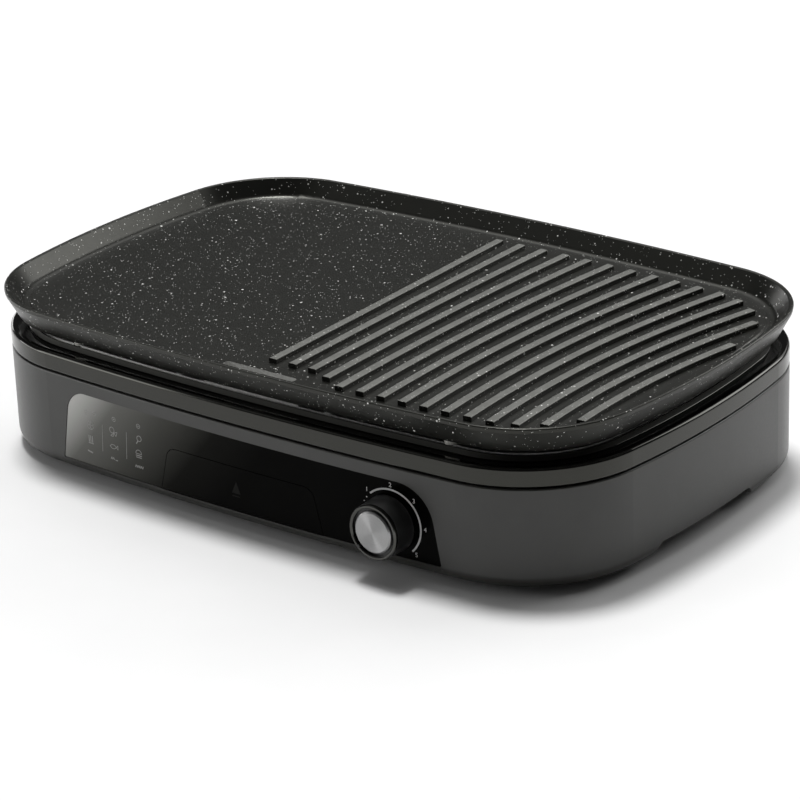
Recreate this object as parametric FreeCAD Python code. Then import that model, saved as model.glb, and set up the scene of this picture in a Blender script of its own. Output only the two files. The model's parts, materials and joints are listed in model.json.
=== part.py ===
import FreeCAD, Part
import math
import os
from FreeCAD import Vector

# Electric table grill, millimetres. +Z is up and the front faces -Y. Sizes are
# laid out about the middle of the outlines, at table height; each node is then
# moved back a little, so that the origin lies under the middle of the whole depth.
# An inset is measured inwards from the outline of a piece, at right angles to it.

# Overall size
overall_height = 110.0

# Plan outline of the plate's rim: four slightly bowed sides and four corners
rim_half_width = 250.0
rim_half_depth = 162.0
rim_front_bow_radius = 2400.0
rim_end_bow_radius = 620.0
rim_corner_radius = 80.0

# Plan outline of the housing, which the glossy frame shares
case_half_width = 248.5
case_half_depth = 161.0
case_front_bow_radius = 2500.0
case_end_bow_radius = 640.0
case_corner_radius = 84.0

# Grill plate, heights below its rim
rim_land = 3.0
floor_drop = 11.5
channel_depth = 0.8
channel_start = 11.2
channel_end = 16.2
floor_thickness = 5.0
skirt_lip = 1.5
skirt_inset = 8.6
underside_inset = 12.6
floor_edge_inset = 24.0
wall_foot_radius = 5.0

# Ribs of the plate's right half, measured at three rows of the plate
rib_count = 15
rib_width = 6.0
rib_height = 3.2
rib_edge_radius = 0.9
rib_row = 117.0
rib_first_front = -1.6
rib_first_middle = -5.5
rib_first_back = -9.8
rib_pitch_front = 15.7
rib_pitch_middle = 16.0
rib_pitch_back = 18.0
rib_field_half_width = 229.0
rib_field_half_depth = 134.5
rib_field_corner = 62.0
rib_short_fronts = (120.0, 120.0, 120.0, 126.0)

# Drain slot at the front of the plate
slot_length = 57.0
slot_width = 6.0
slot_back_edge = 132.0

# Plate rests on the frame's shelf and the pegs that centre the plate on them
rest_x = 150.0
rest_inset = 19.75
rest_pad_hole_gap = 1.2
rest_pad_diameter = 9.0
rest_pad_sink = 1.0
peg_diameter = 5.0
peg_length = 4.5

# Clearances
moving_gap = 0.3
plate_gap = 0.3
seat_gap = 0.1
drawer_gap = 0.45

# Glossy frame between plate and housing
frame_top = 84.0
frame_bottom = 71.3
frame_edge_radius = 2.4
frame_deck_start = 4.5
frame_deck_end = 12.5
frame_deck_low = 82.6
frame_shelf_start = 14.5
frame_shelf_end = 25.0
frame_shelf_top = 86.0
frame_sheet = 2.2
frame_skirt_gap = 0.4
frame_skirt_thickness = 2.0
frame_skirt_depth = 7.0

# Housing shell
seam_gap = 0.8
case_wall = 2.6
case_bottom = 4.5
case_edge_radius = 8.0
case_floor_width = 15.0

# Finger recess under each end
recess_middle_y = -7.0
recess_half_length = 58.0
recess_slope = 9.0
recess_height = 8.9
recess_depth = 12.0
recess_wall = 2.2
recess_top_corner = 5.0
recess_foot_corner = 7.0

# Front panel, its outline seen from the front
panel_bottom = 12.5
panel_top = 61.5
panel_half_width = 154.0
panel_flare = 8.8
panel_left_corner = 17.0
panel_right_corner = 26.0
panel_thickness = 2.2
panel_sink = 0.4
panel_backing = 2.4
panel_backing_margin = 7.0
panel_backing_foot = 4.0
panel_edge_gap = 0.15
panel_stud = 6.5
panel_stud_height = 1.3
panel_screw_length = 3.4

# Drawer
drawer_front_half_width = 66.0
drawer_front_flare = 7.6
drawer_front_top = 42.0
drawer_front_corner = 8.0
drawer_front_thickness = 2.6
tray_half_width = 54.0
tray_length = 170.0
tray_top = 37.5
tray_wall = 1.8
tray_corner = 7.0
tray_front_space = 5.0
drawer_press_in = 2.0
drawer_screw_x = 38.0
drawer_screw_length = 4.8
catch_plate = 1.2
catch_half_width = 9.0
catch_half_height = 7.0
catch_reach = 4.0
catch_tongue_width = 6.0
catch_tongue_thickness = 2.4

# Drawer bay and its runners
bay_side_gap = 1.2
bay_roof_gap = 1.4
bay_wall = 2.0
bay_rear_space = 8.0
runner_width = 6.0
runner_height = 3.8
runner_x = 38.0
bay_front_inset = 8.5
bay_tab_length = 12.0
bay_screw_front = -120.0
bay_screw_back = 0.0
bay_latch_hole = 7.0
bay_mouth_margin = 2.0
bay_screw_length = 4.0
latch_half_width = 9.0
latch_length = 30.0
latch_bore = 6.4
plunger_diameter = 6.0

# Base plate and feet
base_thickness = 3.2
base_edge_gap = 0.4
foot_diameter = 16.0
foot_sink = 1.2
foot_stem = 5.8
foot_stem_hole = 6.0
foot_barb = 7.6
foot_barb_tip = 5.2
foot_barb_height = 3.0
foot_edge_radius = 1.2
foot_from_end = 58.5
foot_from_side = 53.0
vent_length = 46.0
vent_width = 3.2
vent_pitch = 8.0
vent_rows = 7
vent_x = 130.0

# Reflector pan
pan_thickness = 0.8
pan_flange_start = 16.0
pan_wall_inset = 25.6
pan_bottom = 63.5
pan_fillet = 5.0
pan_floor_overlap = 14.0

# Heating element
element_diameter = 6.6
element_rows = 4
element_pitch = 70.0
element_left = -165.0
element_right = 165.0
element_tail = 190.0
element_drop_radius = 13.0
element_tail_bottom = 54.0
bushing_body = 9.0
bushing_flange = 13.0
bushing_flange_height = 3.0
bushing_below = 4.0
pin_diameter = 2.4
pin_length = 9.0
tab_width = 6.2
tab_thickness = 0.8
tab_length = 9.0
support_pitch = 120.0
support_foot_length = 14.0
support_width = 12.0
support_foot_thickness = 1.0
support_leg_thickness = 1.2
support_seat_gap = 0.05

# Temperature sensor between two runs of the element
sensor_x = 20.0
sensor_y = -70.0
sensor_length = 70.0
sensor_diameter = 6.0
clip_foot_length = 14.0
clip_foot_width = 16.0
clip_cradle_length = 8.0
clip_sheet = 0.8
capillary_diameter = 1.6
capillary_x = 8.0
capillary_level = 54.0
capillary_bend = 7.0

# Drain chute
chute_half_width = 34.0
chute_front = 140.5
chute_back = 124.0
chute_wall = 1.2
chute_lip = 4.0

# Control knob and thermostat
knob_x = 118.0
knob_z = 33.5
knob_base_radius = 18.6
knob_front_radius = 17.9
knob_ring_radius = 17.7
knob_ring_width = 2.1
knob_ring_thickness = 2.4
knob_cap_radius = 13.5
knob_cap_thickness = 4.0
knob_cap_proud = 0.2
knob_height = 16.8
knob_panel_gap = 0.7
knob_mark_width = 2.0
knob_mark_angle = 225.0
knob_wall = 2.0
knob_well_depth = 1.8
knob_well_gap = 0.25
knob_hollow_start = 3.0
knob_ring_bevel = 0.5
knob_cap_bevel = 0.9
knob_hub_radius = 6.0
hub_ring_thickness = 0.8
hub_ring_length = 4.0
hub_ring_gap = 2.0
shaft_diameter = 6.0
shaft_flat = 4.6
shaft_bore_gap = 0.05
thermostat_width = 38.0
thermostat_height = 28.0
thermostat_depth = 26.0
thermostat_plate = 1.5
thermostat_standoff = 3.5
thermostat_screw_pitch = 48.0
thermostat_screw_length = 5.0
thermostat_tab_x = 10.0
thermostat_plate_height = 22.0
thermostat_plate_margin = 6.0
thermostat_edge_radius = 3.0
thermostat_bore_depth = 15.0
shaft_hole_diameter = 10.0

# Wiring
wire_diameter = 2.6
wire_bend = 9.0
wire_low_level = 15.0
live_wire_back = 30.0
live_wire_front = -40.0
switched_wire_reach = 26.0
switched_wire_shift = 46.0
block_entry = 3.0
block_x = 140.0
block_y = 108.0
block_pitch = 10.0
block_depth = 20.0
block_height = 18.0
block_rear_hole = 3.4
block_rear_hole_depth = 6.0
pole_screw_hole = 5.2
pole_screw_diameter = 5.0
pole_screw_length = 3.5
pole_screw_sink = 5.0
pole_screw_slot = 0.8
pole_screw_slot_depth = 1.2
fuse_x = 168.0
fuse_y = 56.0
fuse_length = 26.0
fuse_diameter = 7.0
fuse_strap = 0.8
fuse_strap_width = 10.0
fuse_strap_reach = 12.0
fuse_clip_mouth = 5.2
earth_x = 100.0
earth_y = 44.0
earth_screw_length = 4.0
lug_thickness = 1.0
lug_barrel = 4.0
lug_ring = 9.0
lug_tongue_width = 5.0
lug_barrel_start = 6.0
lug_barrel_length = 8.0
lug_wire_start = 7.5

# Blank label
label_length = 62.0
label_width = 34.0
label_thickness = 0.3
label_y = -60.0

# Cord inlet
inlet_x = 140.0
inlet_z = 24.0
inlet_bore = 7.6
inlet_body = 13.0
inlet_flange = 19.0
inlet_flange_thickness = 2.5
inlet_inner_length = 6.0

# Screws
screw_diameter = 3.5
screw_head = 7.0
screw_head_height = 1.8
screw_hole_gap = 0.4
boss_diameter = 9.0
boss_web = 2.4
frame_boss_height = 14.0
frame_screw_length = 22.0
frame_screw_x = 95.0
frame_screw_y = 45.0
base_screw_length = 12.0
base_screw_recess = 2.0
base_screw_x = 78.0
base_screw_y = 76.0
pan_screw_length = 6.0
pan_screw_x = 60.0
pan_screw_y = -40.0

# Heights and places worked out from the sizes above
rim_top = overall_height
plate_floor = rim_top - floor_drop
plate_under = plate_floor - floor_thickness
skirt_bottom = plate_under - skirt_lip
base_top = case_bottom + base_thickness
case_top = frame_bottom - seam_gap
backing_inset = panel_sink + panel_thickness + panel_edge_gap
backing_depth = backing_inset + panel_backing
element_radius = element_diameter / 2
element_z = plate_under - plate_gap - element_radius
pad_top = plate_under - plate_gap
pad_bottom = frame_shelf_top - rest_pad_sink
bay_floor_top = base_top + bay_wall
tray_bottom = bay_floor_top + runner_height + moving_gap
bay_inner_half = tray_half_width + bay_side_gap
bay_roof = tray_top + bay_roof_gap
pan_flange_top = frame_shelf_top + pan_thickness


def outline_arcs(half_width, half_depth, front_radius, end_radius, corner_radius):
    """Eight tangent arcs (centre x, centre y, radius, start, end), anticlockwise."""
    front_centre = half_depth - front_radius
    end_centre = half_width - end_radius
    reach_front = front_radius - corner_radius
    reach_end = end_radius - corner_radius
    distance = math.hypot(end_centre, front_centre)
    along = (reach_front ** 2 - reach_end ** 2 + distance ** 2) / (2 * distance)
    aside = math.sqrt(reach_front ** 2 - along ** 2)
    ux, uy = end_centre / distance, -front_centre / distance
    corner_x = along * ux + aside * uy
    corner_y = front_centre + along * uy - aside * ux
    if corner_x + corner_y < 0:
        corner_x = along * ux - aside * uy
        corner_y = front_centre + along * uy + aside * ux
    end_angle = math.degrees(math.atan2(corner_y, corner_x - end_centre))
    front_angle = math.degrees(math.atan2(corner_y - front_centre, corner_x))
    return [
        (end_centre, 0.0, end_radius, -end_angle, end_angle),
        (corner_x, corner_y, corner_radius, end_angle, front_angle),
        (0.0, front_centre, front_radius, front_angle, 180 - front_angle),
        (-corner_x, corner_y, corner_radius, 180 - front_angle, 180 - end_angle),
        (-end_centre, 0.0, end_radius, 180 - end_angle, 180 + end_angle),
        (-corner_x, -corner_y, corner_radius, 180 + end_angle, 180 + front_angle),
        (0.0, -front_centre, front_radius, 180 + front_angle, 360 - front_angle),
        (corner_x, -corner_y, corner_radius, 360 - front_angle, 360 - end_angle),
    ]


rim_arcs = outline_arcs(rim_half_width, rim_half_depth, rim_front_bow_radius,
                        rim_end_bow_radius, rim_corner_radius)
case_arcs = outline_arcs(case_half_width, case_half_depth, case_front_bow_radius,
                         case_end_bow_radius, case_corner_radius)
rib_field_arcs = outline_arcs(rib_field_half_width, rib_field_half_depth,
                              rim_front_bow_radius, rim_end_bow_radius,
                              rib_field_corner)


def on_arc(arc, inset, degrees, z):
    """Point of an outline arc at an angle, moved inwards by the inset."""
    cx, cy, radius, _, _ = arc
    angle = math.radians(degrees)
    reach = radius - inset
    return Vector(cx + reach * math.cos(angle), cy + reach * math.sin(angle), z)


def outline_wire(arcs, inset, z):
    """Closed outline at a height, drawn in by the inset."""
    edges = []
    for arc in arcs:
        start, end = arc[3], arc[4]
        points = [on_arc(arc, inset, a, z) for a in (start, (start + end) / 2, end)]
        edges.append(Part.Arc(*points).toShape())
    return Part.Wire(edges)


def outline_prism(arcs, inset, z_low, z_high):
    """Solid inside the outline between two heights."""
    face = Part.Face(outline_wire(arcs, inset, z_low))
    return face.extrude(Vector(0, 0, z_high - z_low))


def rounded_edges(points, radii, closed):
    """Straight edges through the points, joined by an arc at each rounded one."""
    count = len(points)
    entries, exits, arcs = [], [], []
    for i, point in enumerate(points):
        radius = radii[i]
        if radius <= 0 or (not closed and i in (0, count - 1)):
            entries.append(point)
            exits.append(point)
            arcs.append(None)
            continue
        back = (points[i - 1] - point).normalize()
        ahead = (points[(i + 1) % count] - point).normalize()
        half = back.getAngle(ahead) / 2
        tangent = radius / math.tan(half)
        middle = (back + ahead).normalize()
        inner = radius / math.sin(half) - radius
        entries.append(point + back * tangent)
        exits.append(point + ahead * tangent)
        arcs.append(point + middle * inner)
    edges = []
    for i in range(count):
        if arcs[i] is not None:
            edges.append(Part.Arc(entries[i], arcs[i], exits[i]).toShape())
        if i == count - 1 and not closed:
            break
        start, end = exits[i], entries[(i + 1) % count]
        if (end - start).Length > 1e-4:
            edges.append(Part.LineSegment(start, end).toShape())
    return edges


def swept_section(arcs, section):
    """Carry a section of (inset, height, corner radius) round the outline."""
    pieces = []
    radii = [corner[2] for corner in section]
    for arc in arcs:
        points = [on_arc(arc, inset, arc[3], z) for inset, z, _ in section]
        face = Part.Face(Part.Wire(rounded_edges(points, radii, True)))
        centre = Vector(arc[0], arc[1], 0)
        pieces.append(face.revolve(centre, Vector(0, 0, 1), arc[4] - arc[3]))
    return pieces[0].multiFuse(pieces[1:]).removeSplitter()


def front_prism(corners, y_front, y_back):
    """Solid with an outline of (x, z, corner radius) seen from the front."""
    points = [Vector(x, y_front, z) for x, z, _ in corners]
    wire = Part.Wire(rounded_edges(points, [c[2] for c in corners], True))
    return Part.Face(wire).extrude(Vector(0, y_back - y_front, 0))


def box(x0, x1, y0, y1, z0, z1):
    """Box between two values on each axis."""
    corner = Vector(min(x0, x1), min(y0, y1), min(z0, z1))
    return Part.makeBox(abs(x1 - x0), abs(y1 - y0), abs(z1 - z0), corner)


def rod(x, y, z, diameter, length, axis=(0, 0, 1)):
    """Cylinder from a point along an axis."""
    return Part.makeCylinder(diameter / 2, length, Vector(x, y, z), Vector(*axis))


def fuse_all(shapes):
    """One solid out of several that meet."""
    return shapes[0].multiFuse(shapes[1:]).removeSplitter()


def group(shapes):
    """Separate solids kept together in one node."""
    return Part.makeCompound(shapes)


def pan_head_screw(x, y, z, length, axis):
    """Screw with its head's seat at the point and its shank along the axis."""
    along = Vector(*axis)
    seat = Vector(x, y, z)
    head = Part.makeCylinder(screw_head / 2, screw_head_height, seat, -along)
    rim = max(head.Edges, key=lambda e: (e.CenterOfMass - seat).dot(-along))
    head = head.makeFillet(screw_head_height * 0.4, [rim])
    shank = Part.makeCylinder(screw_diameter / 2, length, seat, along)
    screw = head.fuse(shank)
    side = Vector(0, 0, 1) if abs(along.z) < 0.5 else Vector(1, 0, 0)
    across = along.cross(side)
    slot_depth = screw_head_height * 0.55
    top = seat - along * screw_head_height
    for direction in (side, across):
        other = along.cross(direction)
        start = top - direction * screw_head * 0.3 - other * 0.45
        points = [start, start + direction * screw_head * 0.6]
        points += [points[1] + other * 0.9, points[0] + other * 0.9, points[0]]
        slot = Part.Face(Part.makePolygon(points)).extrude(along * slot_depth)
        screw = screw.cut(slot)
    return screw


def case_front_y(x, inset):
    """Place of the housing's front surface at x, moved inwards by the inset."""
    radius = case_front_bow_radius - inset
    return -(case_half_depth - case_front_bow_radius + math.sqrt(radius ** 2 - x ** 2))


def case_end_x(y, inset):
    """Place of the housing's end surface at y, moved inwards by the inset."""
    radius = case_end_bow_radius - inset
    return case_half_width - case_end_bow_radius + math.sqrt(radius ** 2 - y ** 2)


def rest_places():
    """Centres of the four plate rests."""
    y = -case_front_y(rest_x, rest_inset)
    return [(sx * rest_x, sy * y) for sx in (-1, 1) for sy in (-1, 1)]


def rib_x(index, row):
    """Middle of a rib at the front, middle or back row."""
    first = {-1: rib_first_front, 0: rib_first_middle, 1: rib_first_back}[row]
    pitch = {-1: rib_pitch_front, 0: rib_pitch_middle, 1: rib_pitch_back}[row]
    return first + index * pitch


def rib_line(index):
    """Centre, radius and side of the arc that a rib's middle follows."""
    rows = [Vector(rib_x(index, r), r * rib_row, 0) for r in (-1, 0, 1)]
    curve = Part.Arc(*rows).toShape().Curve
    side = 1 if curve.Center.x < rows[1].x else -1
    return curve.Center, curve.Radius, side


def in_rib_field(x, y):
    """Whether a place of the right half lies in the field of ribs."""
    end, corner, back = rib_field_arcs[:3]
    if x > corner[0] and abs(y) > corner[1]:
        return math.hypot(x - corner[0], abs(y) - corner[1]) <= corner[2]
    in_bow = math.hypot(x - back[0], abs(y) - back[1]) <= back[2]
    return in_bow and math.hypot(x - end[0], y - end[1]) <= end[2]


def rib_end_y(index, direction):
    """Where a rib reaches the edge of its field, towards the front or the back."""
    centre, radius, side = rib_line(index)
    near, far = 0.0, rib_field_half_depth + 1.0
    while far - near > 0.01:
        y = (near + far) / 2
        x = centre.x + side * math.sqrt(radius ** 2 - (direction * y - centre.y) ** 2)
        if in_rib_field(x, y):
            near = y
        else:
            far = y
    return direction * near


def rib_solid(index):
    """One curved rib with rounded top edges and square ends."""
    centre, radius, side = rib_line(index)
    front = rib_end_y(index, -1)
    if index < len(rib_short_fronts):
        front = -rib_short_fronts[index]
    turns = []
    for y in (front, rib_end_y(index, 1)):
        turn = math.asin((y - centre.y) / radius)
        turns.append(turn if side > 0 else math.pi - turn)
    start, end = min(turns), max(turns)
    low = plate_floor - channel_depth
    top = plate_floor + rib_height
    half = rib_width / 2
    points = []
    for reach, z in ((-half, low), (half, low), (half, top), (-half, top)):
        r = radius + reach
        points.append(Vector(centre.x + r * math.cos(start), centre.y + r * math.sin(start), z))
    edges = rounded_edges(points, [0, 0, rib_edge_radius, rib_edge_radius], True)
    face = Part.Face(Part.Wire(edges))
    return face.revolve(centre, Vector(0, 0, 1), math.degrees(end - start))


def plate_ribs():
    """All ribs of the plate's right half."""
    return [rib_solid(i) for i in range(rib_count)]


def grill_plate():
    """Cast plate: flared wall, land, grease channel, floor, ribs and drain slot."""
    section = [
        (0.0, rim_top, 1.0),
        (rim_land, rim_top, 1.4),
        (channel_start, plate_floor - channel_depth, wall_foot_radius),
        (channel_end, plate_floor - channel_depth, 0.5),
        (channel_end + channel_depth, plate_floor, 0.3),
        (floor_edge_inset, plate_floor, 0.0),
        (floor_edge_inset, plate_under, 0.0),
        (underside_inset + 0.8, plate_under, 0.6),
        (underside_inset, skirt_bottom, 0.7),
        (skirt_inset, skirt_bottom, 1.6),
        (0.5, rim_top - rim_land, 0.6),
    ]
    rim = swept_section(rim_arcs, section)
    floor = outline_prism(rim_arcs, floor_edge_inset, plate_under, plate_floor)
    pegs = [rod(x, y, plate_under - peg_length, peg_diameter, peg_length + 1)
            for x, y in rest_places()]
    plate = fuse_all([rim, floor] + pegs)
    plate = plate.fuse(plate_ribs()).removeSplitter()
    half = slot_length / 2
    slot_front = slot_back_edge + slot_width
    slot = box(-half, half, -slot_front, -slot_back_edge, plate_under - 5, plate_floor + 5)
    upright = [e for e in slot.Edges if e.BoundBox.ZLength > 5]
    slot = slot.makeFillet(slot_width * 0.45, upright)
    return plate.cut(slot)


def top_frame():
    """Glossy frame: rounded band, sloping deck, raised shelf, skirt and bosses."""
    skirt_outer = case_wall + frame_skirt_gap
    skirt_inner = skirt_outer + frame_skirt_thickness
    deck_under = frame_deck_low - frame_sheet
    shelf_under = frame_shelf_top - frame_sheet
    section = [
        (0.0, frame_bottom, 1.5),
        (0.0, frame_top, frame_edge_radius),
        (frame_deck_start, frame_top, 1.5),
        (frame_deck_end, frame_deck_low, 1.0),
        (frame_shelf_start, frame_shelf_top, 0.5),
        (frame_shelf_end, frame_shelf_top, 0.3),
        (frame_shelf_end, shelf_under, 0.0),
        (frame_shelf_start + frame_sheet, shelf_under, 0.5),
        (frame_deck_end + frame_sheet, deck_under, 0.5),
        (skirt_inner, frame_top - 2 * frame_sheet, 0.0),
        (skirt_inner, frame_bottom - frame_skirt_depth, 0.5),
        (skirt_outer, frame_bottom - frame_skirt_depth, 0.5),
        (skirt_outer, frame_bottom, 0.0),
    ]
    frame = swept_section(case_arcs, section)
    low = frame_boss_bottom()
    bosses = [rod(x, y, low, boss_diameter, frame_deck_low - 1.0 - low)
              for x, y in frame_screw_places()]
    frame = fuse_all([frame] + bosses)
    for x, y in rest_places():
        frame = frame.cut(rod(x, y, pad_bottom, rest_pad_diameter + seat_gap, 5))
    for x, y in frame_screw_places():
        depth = frame_screw_length - frame_boss_height + 1.0
        frame = frame.cut(rod(x, y, low, screw_diameter, depth))
    for x, y in pan_screw_places():
        frame = frame.cut(rod(x, y, shelf_under - 1, screw_diameter, frame_sheet + 2))
    return frame.cut(chute_passage(seat_gap, shelf_under - 1, frame_shelf_top + 1))


def chute_passage(gap, low, high):
    """Opening that lets the drain chute through a sheet."""
    half = chute_half_width + gap
    return box(-half, half, -chute_front - gap, -chute_back + gap, low, high)


def frame_boss_bottom():
    """Height where the frame's screw bosses stand on those of the housing."""
    return frame_bottom - frame_skirt_depth - 1.0


def frame_screw_places():
    """Six screws that pull the frame down onto the housing."""
    inset = frame_deck_end - 2.0
    front = case_front_y(frame_screw_x, inset)
    end = case_end_x(frame_screw_y, inset)
    places = [(sx * frame_screw_x, sy * front) for sx in (-1, 1) for sy in (-1, 1)]
    return places + [(-end, frame_screw_y), (end, frame_screw_y)]


def pan_screw_places():
    """Six screws that hold the reflector pan on the frame's shelf."""
    inset = (frame_shelf_start + frame_shelf_end) / 2
    front = case_front_y(pan_screw_x, inset)
    end = case_end_x(pan_screw_y, inset)
    places = [(sx * pan_screw_x, sy * front) for sx in (-1, 1) for sy in (-1, 1)]
    return places + [(-end, pan_screw_y), (end, pan_screw_y)]


def base_screw_places():
    """Eight screws that hold the base plate."""
    inset = case_floor_width + base_edge_gap + boss_diameter / 2 + 0.5
    front = case_front_y(base_screw_x, inset)
    end = case_end_x(base_screw_y, inset)
    places = [(sx * base_screw_x, sy * front) for sx in (-1, 1) for sy in (-1, 1)]
    return places + [(sx * end, sy * base_screw_y) for sx in (-1, 1) for sy in (-1, 1)]


def thermostat_screw_places():
    """Two screws beside the thermostat, as x values at the knob's height."""
    half = thermostat_screw_pitch / 2
    return (knob_x - half, knob_x + half)


def backing_seat_y(x, radius):
    """Flat seat for a round thing of a radius against the back of the panel's wall."""
    return case_front_y(abs(x) + radius, backing_depth)


def recess_prism(grow, depth):
    """Finger recess at the right-hand end, its mouth rounded into the case's foot."""
    low = case_bottom - 5.0
    foot = case_bottom - grow
    high = case_bottom + recess_height + grow
    bottom = recess_half_length + grow
    top = recess_half_length - recess_slope + grow
    wide = bottom + 2 * recess_foot_corner
    half_outline = [(wide, low, 0), (wide, foot, 0), (bottom, foot, recess_foot_corner),
                    (top, high, recess_top_corner)]
    mirrored = [(-y, z, corner) for y, z, corner in reversed(half_outline)]
    corners = half_outline + mirrored
    outer = case_half_width + 5
    points = [Vector(outer, recess_middle_y + y, z) for y, z, _ in corners]
    wire = Part.Wire(rounded_edges(points, [c[2] for c in corners], True))
    solid = Part.Face(wire).extrude(Vector(-(outer - case_half_width + 30), 0, 0))
    return solid.cut(outline_prism(case_arcs, depth, low - 5, high + 5))


def case_form(inset):
    """Solid form of the housing with its rounded foot, drawn in by the inset."""
    low = case_bottom + inset
    section = [
        (inset, case_top, 0.0),
        (inset, low, case_edge_radius - inset),
        (case_floor_width, low, 0.0),
        (case_floor_width, case_top, 0.0),
    ]
    ring = swept_section(case_arcs, section)
    return fuse_all([ring, outline_prism(case_arcs, case_floor_width, low, case_top)])


def panel_corners(grow):
    """Outline of the front panel, grown on all sides."""
    low = panel_bottom - grow
    high = panel_top + grow
    foot = panel_half_width + grow
    top = panel_half_width - panel_flare + grow
    return [(-foot, low, 0.8), (foot, low, 0.8), (top, high, panel_right_corner + grow),
            (-top, high, panel_left_corner + grow)]


def drawer_corners(grow):
    """Outline of the drawer's front, grown on all sides."""
    low = panel_bottom - grow
    high = drawer_front_top + grow
    foot = drawer_front_half_width + grow
    top = drawer_front_half_width - drawer_front_flare + grow
    return [(-foot, low, 0), (foot, low, 0), (top, high, drawer_front_corner + grow),
            (-top, high, drawer_front_corner + grow)]


def wall_layer(inset_out, inset_in, low, high):
    """Layer of the housing's wall between two insets and two heights."""
    outer = outline_prism(case_arcs, inset_out, low, high)
    return outer.cut(outline_prism(case_arcs, inset_in, low - 1, high + 1))


def body_shell():
    """Housing: wall, rounded foot, panel seat, finger recesses and bosses."""
    section = [
        (0.0, case_top, 1.2),
        (0.0, case_bottom, case_edge_radius),
        (case_floor_width, case_bottom, 0.0),
        (case_floor_width, base_top, 0.0),
        (case_wall, base_top, case_edge_radius - case_wall),
        (case_wall, case_top, 0.4),
    ]
    shell = swept_section(case_arcs, section)
    front = -case_half_depth - 5
    seat = front_prism(panel_corners(panel_backing_margin), front, 0)
    seat = seat.common(wall_layer(case_wall * 0.5, backing_depth,
                                  panel_bottom - panel_backing_foot, frame_boss_bottom()))
    pocket = recess_prism(recess_wall, recess_depth + recess_wall)
    pocket = pocket.common(case_form(0.4))
    other_pocket = pocket.mirror(Vector(0, 0, 0), Vector(1, 0, 0))
    bosses = shell_bosses()
    shell = fuse_all([shell, seat, pocket, other_pocket] + bosses)
    layer = wall_layer(-3.0, backing_inset, case_bottom, case_top)
    shell = shell.cut(front_prism(panel_corners(panel_edge_gap), front, 0).common(layer))
    mouth = front_prism(drawer_corners(drawer_gap), front, front + 5 + case_edge_radius)
    shell = shell.cut(mouth)
    recess = recess_prism(0.0, recess_depth)
    shell = shell.cut(recess).cut(recess.mirror(Vector(0, 0, 0), Vector(1, 0, 0)))
    shaft_hole = rod(knob_x, front, knob_z, shaft_hole_diameter, 30, (0, 1, 0))
    inlet = rod(inlet_x, 0, inlet_z, inlet_body + 2 * seat_gap, case_half_depth + 5, (0, 1, 0))
    shell = shell.cut(shaft_hole).cut(inlet)
    return shell_screw_holes(shell)


def shell_screw_holes(shell):
    """Drill the shell for its screws and for the studs of the front panel."""
    for x, z in panel_screw_places():
        pocket_back = panel_stud_back_y(x) + seat_gap
        start = case_front_y(x, backing_inset) - 2
        shell = shell.cut(rod(x, start, z, panel_stud + 0.3, pocket_back - start, (0, 1, 0)))
        shell = shell.cut(rod(x, start, z, screw_diameter + screw_hole_gap, 12, (0, 1, 0)))
    for x in thermostat_screw_places():
        y = thermostat_front_y() - thermostat_screw_length + thermostat_plate - 0.5
        shell = shell.cut(rod(x, y, knob_z, screw_diameter, thermostat_front_y() - y + 1,
                              (0, 1, 0)))
    for x, y in base_screw_places():
        shell = shell.cut(rod(x, y, base_top - 1, screw_diameter, base_screw_length + 2))
    for x, y in frame_screw_places():
        low = frame_boss_bottom() - frame_boss_height
        shell = shell.cut(rod(x, y, low - 1, screw_diameter + screw_hole_gap,
                              frame_boss_height + 2))
    return shell


def shell_bosses():
    """Screw bosses inside the housing, tied to its wall by webs."""
    bosses = []
    inner = outline_prism(case_arcs, case_wall * 0.5, base_top, case_top)
    for x, y in base_screw_places():
        height = base_screw_length + 8.0
        bosses.append(rod(x, y, base_top, boss_diameter, height))
        bosses.append(wall_web(x, y, base_top, base_top + height, boss_web).common(inner))
    for x, y in frame_screw_places():
        top = frame_boss_bottom()
        low = top - frame_boss_height
        bosses.append(rod(x, y, low, boss_diameter, frame_boss_height))
        bosses.append(wall_web(x, y, low, top, boss_web).common(inner))
    for x in thermostat_screw_places():
        y = case_front_y(x, backing_inset + panel_backing / 2)
        bosses.append(rod(x, y, knob_z, boss_diameter, thermostat_front_y() - y, (0, 1, 0)))
    return bosses


def wall_web(x, y, low, high, thickness):
    """Web from a boss straight to the nearest wall."""
    half = thickness / 2
    if abs(y) > abs(x) or abs(y) > case_half_depth - 40:
        reach = math.copysign(case_half_depth + 5, y)
        return box(x - half, x + half, y, reach, low, high)
    reach = math.copysign(case_half_width + 5, x)
    return box(x, reach, y - half, y + half, low, high)


def panel_screw_places():
    """Six screws behind the front panel, as (x, z)."""
    return [(-138.0, 20.0), (-138.0, 48.0), (-60.0, 52.0), (60.0, 52.0), (144.0, 17.0),
            (132.0, 53.0)]


def panel_stud_back_y(x):
    """Rear end of the panel's stud at x."""
    return case_front_y(x, panel_sink + panel_thickness) + panel_stud_height


def front_panel():
    """Glossy panel that follows the bow of the front, open for drawer and knob."""
    front = -case_half_depth - 5
    inner = panel_sink + panel_thickness
    layer = wall_layer(panel_sink, inner, case_bottom, case_top)
    panel = front_prism(panel_corners(0.0), front, 0).common(layer)
    mouth = front_prism(drawer_corners(drawer_gap), front, 0)
    hole = rod(knob_x, front, knob_z, shaft_hole_diameter, 30, (0, 1, 0))
    panel = panel.cut(mouth).cut(hole)
    studs = []
    for x, z in panel_screw_places():
        start = case_front_y(x, inner - panel_thickness / 2)
        studs.append(rod(x, start, z, panel_stud, panel_stud_back_y(x) - start, (0, 1, 0)))
    panel = fuse_all([panel] + studs)
    for x, z in panel_screw_places():
        tip = backing_seat_y(x, screw_head / 2) - panel_screw_length
        panel = panel.cut(rod(x, tip, z, screw_diameter, panel_screw_length, (0, 1, 0)))
    return panel


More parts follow.
